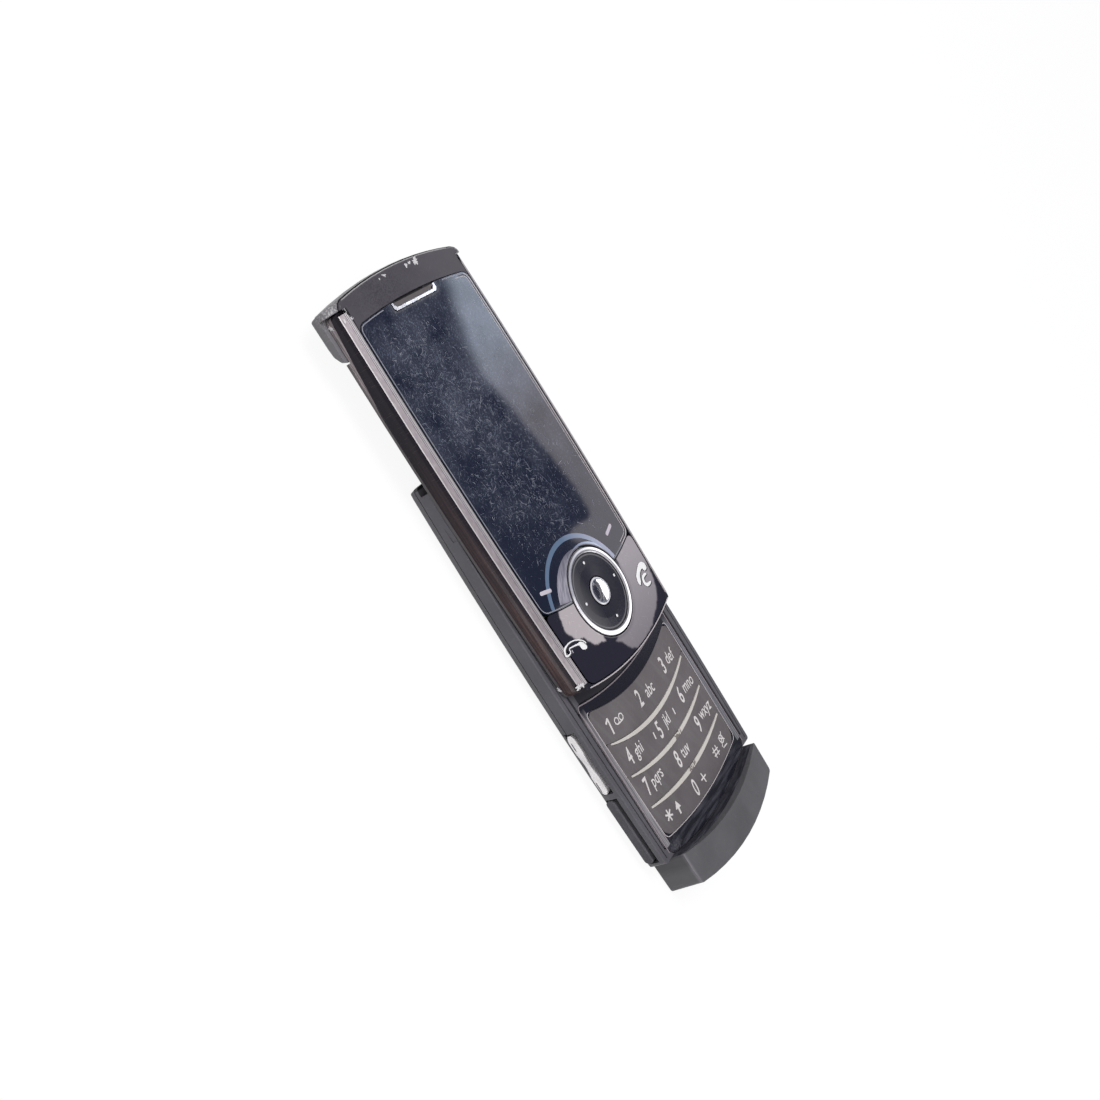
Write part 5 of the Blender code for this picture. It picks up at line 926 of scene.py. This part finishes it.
legend_ink = satin("legend_ink", (0.70, 0.67, 0.67), 0.45, dust=0.0, rubs=0.0)
KEY_Z = 6.065
DIGIT_EM, LETTER_EM = 5.35, 3.80
digits = [("2", -2.4, -12.9), ("3", 10.8, -12.4), ("4", -15.4, -19.4), ("5", -2.35, -21.3),
          ("6", 10.6, -20.3), ("7", -15.75, -26.9), ("8", -2.4, -29.1), ("9", 10.4, -28.2), ("0", -2.5, -36.6)]
letters = [("abc", 2.3, -13.4), ("def", 14.7, -12.2), ("ghi", -11.8, -20.4), ("jkl", 1.5, -21.5), ("mno", 15.1, -20.3),
           ("pqrs", -11.6, -28.1), ("tuv", 1.4, -29.3), ("wxyz", 15.2, -28.1)]


def row_of(y, x):
    """The key row that a place belongs to: one more for each ridge that lies above it."""
    apex = -18.1 - 7.45 * np.arange(3)
    bend = np.array([49.0, 60.0, 71.0])
    return "key_row_" + str(1 + int((y < apex + x ** 2 / (2 * bend)).sum()))


for text, x, y in digits:
    printed("digit_" + text, text, (x, y), DIGIT_EM, 0.62, KEY_Z, row_of(y, x))
for text, x, y in letters:
    printed("letters_" + text, text, (x, y), LETTER_EM, 0.74, KEY_Z, row_of(y, x), weight=0.008)


def strokes(name, lines, width, body):
    """Several short strips with round middles, joined into one mesh: the points of each follow the other's."""
    parts = [strip(name + "_part", spaced(line, 0.25, closed=False), width, KEY_Z - 0.005, legend_ink, body,
                   proud=0.01) for line in lines]
    points = [np.array([v.co for v in part.data.vertices]) / MM for part in parts]
    starts = np.cumsum([0] + [len(p) for p in points])
    faces = [[start + i for i in face.vertices] for part, start in zip(parts, starts) for face in part.data.polygons]
    for part in parts:
        bpy.data.objects.remove(part)
    return solid_of(name, np.vstack(points), faces, legend_ink.material, body)


def spoke(x, y, radius, degrees):
    a = math.radians(degrees)
    return [(x - radius * math.cos(a), y - radius * math.sin(a)), (x + radius * math.cos(a), y + radius * math.sin(a))]


around = np.linspace(0.0, 2 * math.pi, 17)
strokes("digit_1", [[(-14.95, -10.1), (-15.60, -13.6)], [(-14.95, -10.15), (-16.25, -10.85)]], 0.50, "key_row_1")
strokes("star_sign", [spoke(-14.9, -35.0, 1.35, a) for a in (90, 30, 150)], 0.42, "key_row_4")
strokes("hash_sign", [[(10.15, -34.6), (9.75, -37.1)], [(11.35, -34.7), (11.0, -37.1)], [(9.2, -35.45), (11.9, -35.6)],
                      [(9.2, -36.4), (11.9, -36.5)]], 0.30, "key_row_4")
strokes("plus_sign", [spoke(1.7, -36.9, 1.2, 0), spoke(1.7, -36.9, 1.2, 95)], 0.36, "key_row_4")
strokes("silent_sign", [np.column_stack([14.7 + 0.8 * np.cos(around), -35.2 + 0.9 * np.sin(around)]),
                        [(13.6, -36.7), (15.9, -33.9)], [(13.8, -34.4), (15.9, -35.9)], [(13.7, -37.0), (15.7, -37.1)]],
        0.28, "key_row_4")
strokes("voicemail_sign", [np.column_stack([-12.75 + 0.72 * np.cos(around), -12.2 + 0.72 * np.sin(around)]),
                           np.column_stack([-10.85 + 0.72 * np.cos(around), -12.3 + 0.72 * np.sin(around)]),
                           [(-12.75, -12.95), (-10.85, -13.05)]], 0.28, "key_row_1")
strokes("home_tick_left", [[(-4.65, -20.5), (-4.98, -22.0)]], 0.40, "key_row_2")
strokes("home_tick_right", [[(5.60, -20.7), (5.30, -22.2)]], 0.40, "key_row_2")
strip("arrow_sign", [(-11.3, -37.2), (-11.05, -35.95), (-11.04, -35.9), (-10.75, -34.3)], (0.55, 0.55, 2.1, 0.05), KEY_Z,
      legend_ink, "key_row_4", proud=0.01)
for n, (apex, bend) in enumerate(zip((-18.1, -25.55, -33.0), (49.0, 60.0, 71.0)), 1):
    for word, sign in (("left", -1), ("right", 1)):
        seam_x = sign * np.linspace(18.25, 19.6, 6)
        strip("row_%d_end_%s" % (n, word), np.column_stack([seam_x, arch(apex, bend, seam_x)])[::sign], 0.7, KEY_Z - 0.005,
              key_brown, "base", proud=0.0)
print(len(digits), "digits and", len(letters), "groups of letters")

# %% [markdown]
# ### Scratches
# Years of keys and coins leave thousands of short curved scratches on the window. Each is a bent sliver; all of
# them are worked out at once as arrays, seeded, so that every run scratches the glass alike.

# %% Window scratches
def slivers(name, x, y, heading, length, bend, width, z, material, body, slot):
    """Bent slivers: along = share times length, aside = bend times along squared, width falling to nothing."""
    share = np.linspace(-0.5, 0.5, 6)[None, :]
    s = share * length[:, None]
    off = bend[:, None] * (s ** 2 - length[:, None] ** 2 / 12)
    thick = width[:, None] * (1 - (2 * np.abs(share)) ** 3) / 2 + 0.004
    c, k = np.cos(heading)[:, None], np.sin(heading)[:, None]

    def side(sign):
        a = off + sign * thick
        return np.stack([x[:, None] + s * c - a * k, y[:, None] + s * k + a * c, np.full_like(s, z)], axis=-1)

    rows = np.stack([side(-1), side(1)], axis=2)
    count, steps = rows.shape[:2]
    first = (np.arange(count)[:, None] * steps + np.arange(steps - 1)[None, :]).ravel() * 2
    quads = np.column_stack([first, first + 2, first + 3, first + 1])
    return solid_of(name, rows.reshape(-1, 3), quads, material.material, body)


rng = np.random.default_rng(7)
scratch_pale = satin("scratch_pale", (0.215, 0.24, 0.32), 0.45, dust=0.0, rubs=0.0)
scratch_bright = satin("scratch_bright", (0.46, 0.48, 0.54), 0.40, dust=0.0, rubs=0.0)
COUNT = 4600
centres = np.array([(-9.0, 74.0), (-12.0, 66.0), (-4.0, 64.0), (1.0, 57.0), (-9.0, 54.0), (0.0, 48.0), (-6.0, 44.0),
                    (5.0, 38.0), (-12.0, 38.0), (0.0, 28.0), (12.0, 60.0)])
spread = np.array([7.0, 7.0, 7.0, 8.0, 8.0, 8.0, 8.0, 7.0, 7.0, 7.0, 9.0])
pick = rng.integers(0, len(centres), COUNT)
x = centres[pick, 0] + rng.normal(0.0, 1.0, COUNT) * spread[pick]
y = centres[pick, 1] + rng.normal(0.0, 1.0, COUNT) * spread[pick]
inside = (np.abs(x) < 19.3) & (y > 21.0) & (y < 81.5) & (np.hypot(x + 3.2, y - 11.4) > 15.0)
x, y = x[inside], y[inside]
length = rng.gamma(1.6, 0.34, len(x)) + 0.10
heading = rng.uniform(0.0, math.pi, len(x))
bend = rng.normal(0.0, 0.8, len(x)) * (length < 1.2)
width = rng.uniform(0.006, 0.030, len(x))
slivers("window_scratches", x, y, heading, length, bend, width, FRONT_Z + 0.012, scratch_pale, "slider", "window")
few = rng.random(len(x)) < 0.16
slivers("window_bright_scratches", x[few], y[few] + 0.3, heading[few] + 0.4, length[few] * 1.2, bend[few],
        width[few] + 0.012, FRONT_Z + 0.016, scratch_bright, "slider", "window")
long_marks = np.array([(-2.0, 47.0, 1.9, 9.0, 0.004), (-7.0, 42.0, 1.75, 7.0, -0.01), (8.0, 60.0, 0.35, 8.0, 0.003),
                       (1.0, 29.0, -0.35, 6.0, 0.03), (2.0, 28.3, -0.35, 5.0, 0.035), (4.5, 37.0, 1.9, 6.0, 0.01),
                       (-10.0, 62.0, 2.0, 5.0, 0.02), (-4.0, 70.0, 1.2, 5.0, 0.0), (12.0, 45.0, 2.1, 7.0, 0.0)])
slivers("window_long_scratches", *long_marks.T, np.full(len(long_marks), 0.035), FRONT_Z + 0.014, scratch_pale,
        "slider", "window")
print(len(x), "short scratches and", len(long_marks), "long ones")

# %% [markdown]
# ### Chips, knocks and glints
# The cap's front edge is chipped to the pale plastic under its paint, and the bright strips are knocked white at their
# ends, each knock also a painted highlight. The glints on the rails' lips are painted highlights in the same white. A
# chip is a small ragged blot: a radius that wanders with the angle.


# %% Chips
def blot(name, middle, size, stretch, angle, seed, material, body, along=(1, 0, 0), across=(0, 1, 0)):
    """A ragged blot on the plane of two directions: radius = size (1 + wander) about its middle.

    The wander is a sum of four seeded waves round the angle; stretch lengthens the blot along its own first axis.
    """
    waves = np.random.default_rng(seed)
    turn = np.linspace(0.0, 2 * math.pi, 36, endpoint=False)
    wander = sum(waves.uniform(0.1, 0.3) * np.sin(n * turn + waves.uniform(0, 6)) for n in (2, 3, 5, 8))
    radius = size * (1 + wander)
    share = np.linspace(0.0, 1.0, 4)[None, :]
    flat_u, flat_v = (radius * np.cos(turn) * stretch)[:, None] * share, (radius * np.sin(turn))[:, None] * share
    c, s = math.cos(angle), math.sin(angle)
    along, across = np.array(along, float), np.array(across, float)
    proud = np.cross(along, across) * 0.02
    rows = (np.array(middle, float) + (c * flat_u - s * flat_v)[..., None] * along
            + (s * flat_u + c * flat_v)[..., None] * across + (1 - share ** 2)[..., None] * proud)
    return surface(name, rows[:, ::-1], closed=True, material=material.material, body=body)


chip_and_glint_white = satin("chip_and_glint_white", (0.62, 0.61, 0.62), 0.5, dust=0.0, rubs=0.0)
chips = [(6.5, 89.75, 0.62, 1.5, 0.3, 1), (4.5, 89.95, 0.28, 1.6, 0.2, 2), (3.1, 89.75, 0.42, 1.0, 0.8, 3),
         (-4.7, 89.85, 0.26, 1.8, 0.0, 4), (-6.6, 89.6, 0.16, 1.5, 0.4, 5)]
for n, (x, y, size, stretch, angle, seed) in enumerate(chips, 1):
    blot("cap_chip_" + str(n), (x, y, 10.91), size, stretch, angle, seed, chip_and_glint_white, "slider")
SLOPE = (0.948, 0.0, 0.317)
# Pale knocks at the strips' ends: chips that also stand in for painted highlights.
for name, x, y, size, seed in (("strip_knock_glint_low", -21.9, 0.75, 0.50, 6), ("strip_knock_glint_low_edge", -20.9, 0.55, 0.35, 7),
                               ("strip_knock_glint_top", -21.3, 85.6, 0.50, 8), ("strip_knock_glint_top_edge", -20.3, 85.2, 0.35, 9)):
    middle = (x, y, 9.90 + (x + 22.75) * 0.334 + 0.03)
    blot(name, middle, size, 1.3, 0.4, seed, chip_and_glint_white, "slider", along=SLOPE)
# Painted highlights: white glints on the rails' outer lips.
for name, y, z, size, seed in (("rail_glint_top", 85.5, 8.6, 0.34, 12), ("rail_glint_low", 2.4, 7.5, 0.32, 11)):
    blot(name, (-24.22, y, z), size, 1.7, 0.5, seed, chip_and_glint_white, "slider", along=(0, -1, 0), across=(0, 0, 1))
cap_front_edge = spaced(top_outline("end_cap", (0, 86.0)), 0.4)
cap_front_edge = cap_front_edge[(cap_front_edge[:, 1] > 85.2) & (cap_front_edge[:, 0] < 18.6) & (cap_front_edge[:, 0] > -20.9)]
cap_front_edge = cap_front_edge[np.argsort(cap_front_edge[:, 0])]
print(len(chips), "chips; cap edge highlight", len(cap_front_edge), "points")

# %% Cap edge highlight and side key marks
# A painted highlight along the cap's front edge.
cap_highlight_white = satin("cap_highlight_white", (0.36, 0.35, 0.36), 0.35, dust=0.0)
bulge = cap_front_edge + 0.20 * np.column_stack([cap_front_edge[:, 0] / 110, np.ones(len(cap_front_edge))])
strip("cap_edge_highlight", bulge, 0.20, 10.78, cap_highlight_white, "slider", proud=0.0)


def side_line(name, x, low_y, high_y, z, width, material, body):
    """A thin line on the left side: y runs along it, z goes half a width to either side, thinner at its ends."""
    y = np.linspace(low_y, high_y, 12)
    wide = width / 2 * np.sqrt(np.clip(1.02 - np.linspace(-1, 1, 12) ** 6, 0, 1))
    rows = np.stack([np.column_stack([np.full(12, x), y, z - wide]), np.column_stack([np.full(12, x), y, z + wide])], axis=1)
    return surface(name, rows[:, ::-1], material=material.material, body=body)


mark_dark = satin("mark_dark", (0.10, 0.10, 0.11), 0.5, dust=0.0)
side_line("volume_mark_up", -24.865, -11.0, -8.8, 2.90, 0.24, mark_dark, "volume_key")
side_line("volume_mark_down", -24.865, -21.2, -18.6, 2.72, 0.24, mark_dark, "volume_key")


def flat_ring(name, x, y, z, inner, outer, material, body):
    """A ring on the phone's back, facing down: radius runs from inner to outer, its middle a little proud."""
    turns = np.linspace(0.0, 2 * math.pi, 64, endpoint=False)[:, None]
    share = np.linspace(0.0, 1.0, 5)[None, :]
    radius = inner + share * (outer - inner) + 0.0 * turns
    rows = np.dstack([x + radius * np.cos(turns), y + radius * np.sin(turns), z - 0.12 * np.sin(math.pi * share)
                      + 0.0 * turns])
    return surface(name, rows, closed=True, material=material.material, body=body)


camera_low, camera_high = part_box("camera_window")
camera_x, camera_y = ((np.array(camera_low) + np.array(camera_high)) / 2 / MM)[:2]
flash_low, flash_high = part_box("flash_lens")
flash_x, flash_y = ((np.array(flash_low) + np.array(flash_high)) / 2 / MM)[:2]
back_z = np.array(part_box("rear_panel")[0])[2] / MM
flat_ring("camera_ring", camera_x, camera_y, back_z, 4.35, 5.2, chrome, "slider")
flat_ring("flash_ring", flash_x, flash_y, back_z, 1.85, 2.25, chrome, "slider")
print("camera at", round(float(camera_x), 2), round(float(camera_y), 2), "back at", round(float(back_z), 2))

# %% [markdown]
# ## Smooth shading
# The nav dots and the rings round the camera and the flash are shaded smooth.

# %% Finish
for made in scene.objects:
    if made.type == "MESH" and made.name not in nodes:
        made.data.shade_smooth() if made.name.startswith(("nav_dot", "camera_ring", "flash_ring")) else None
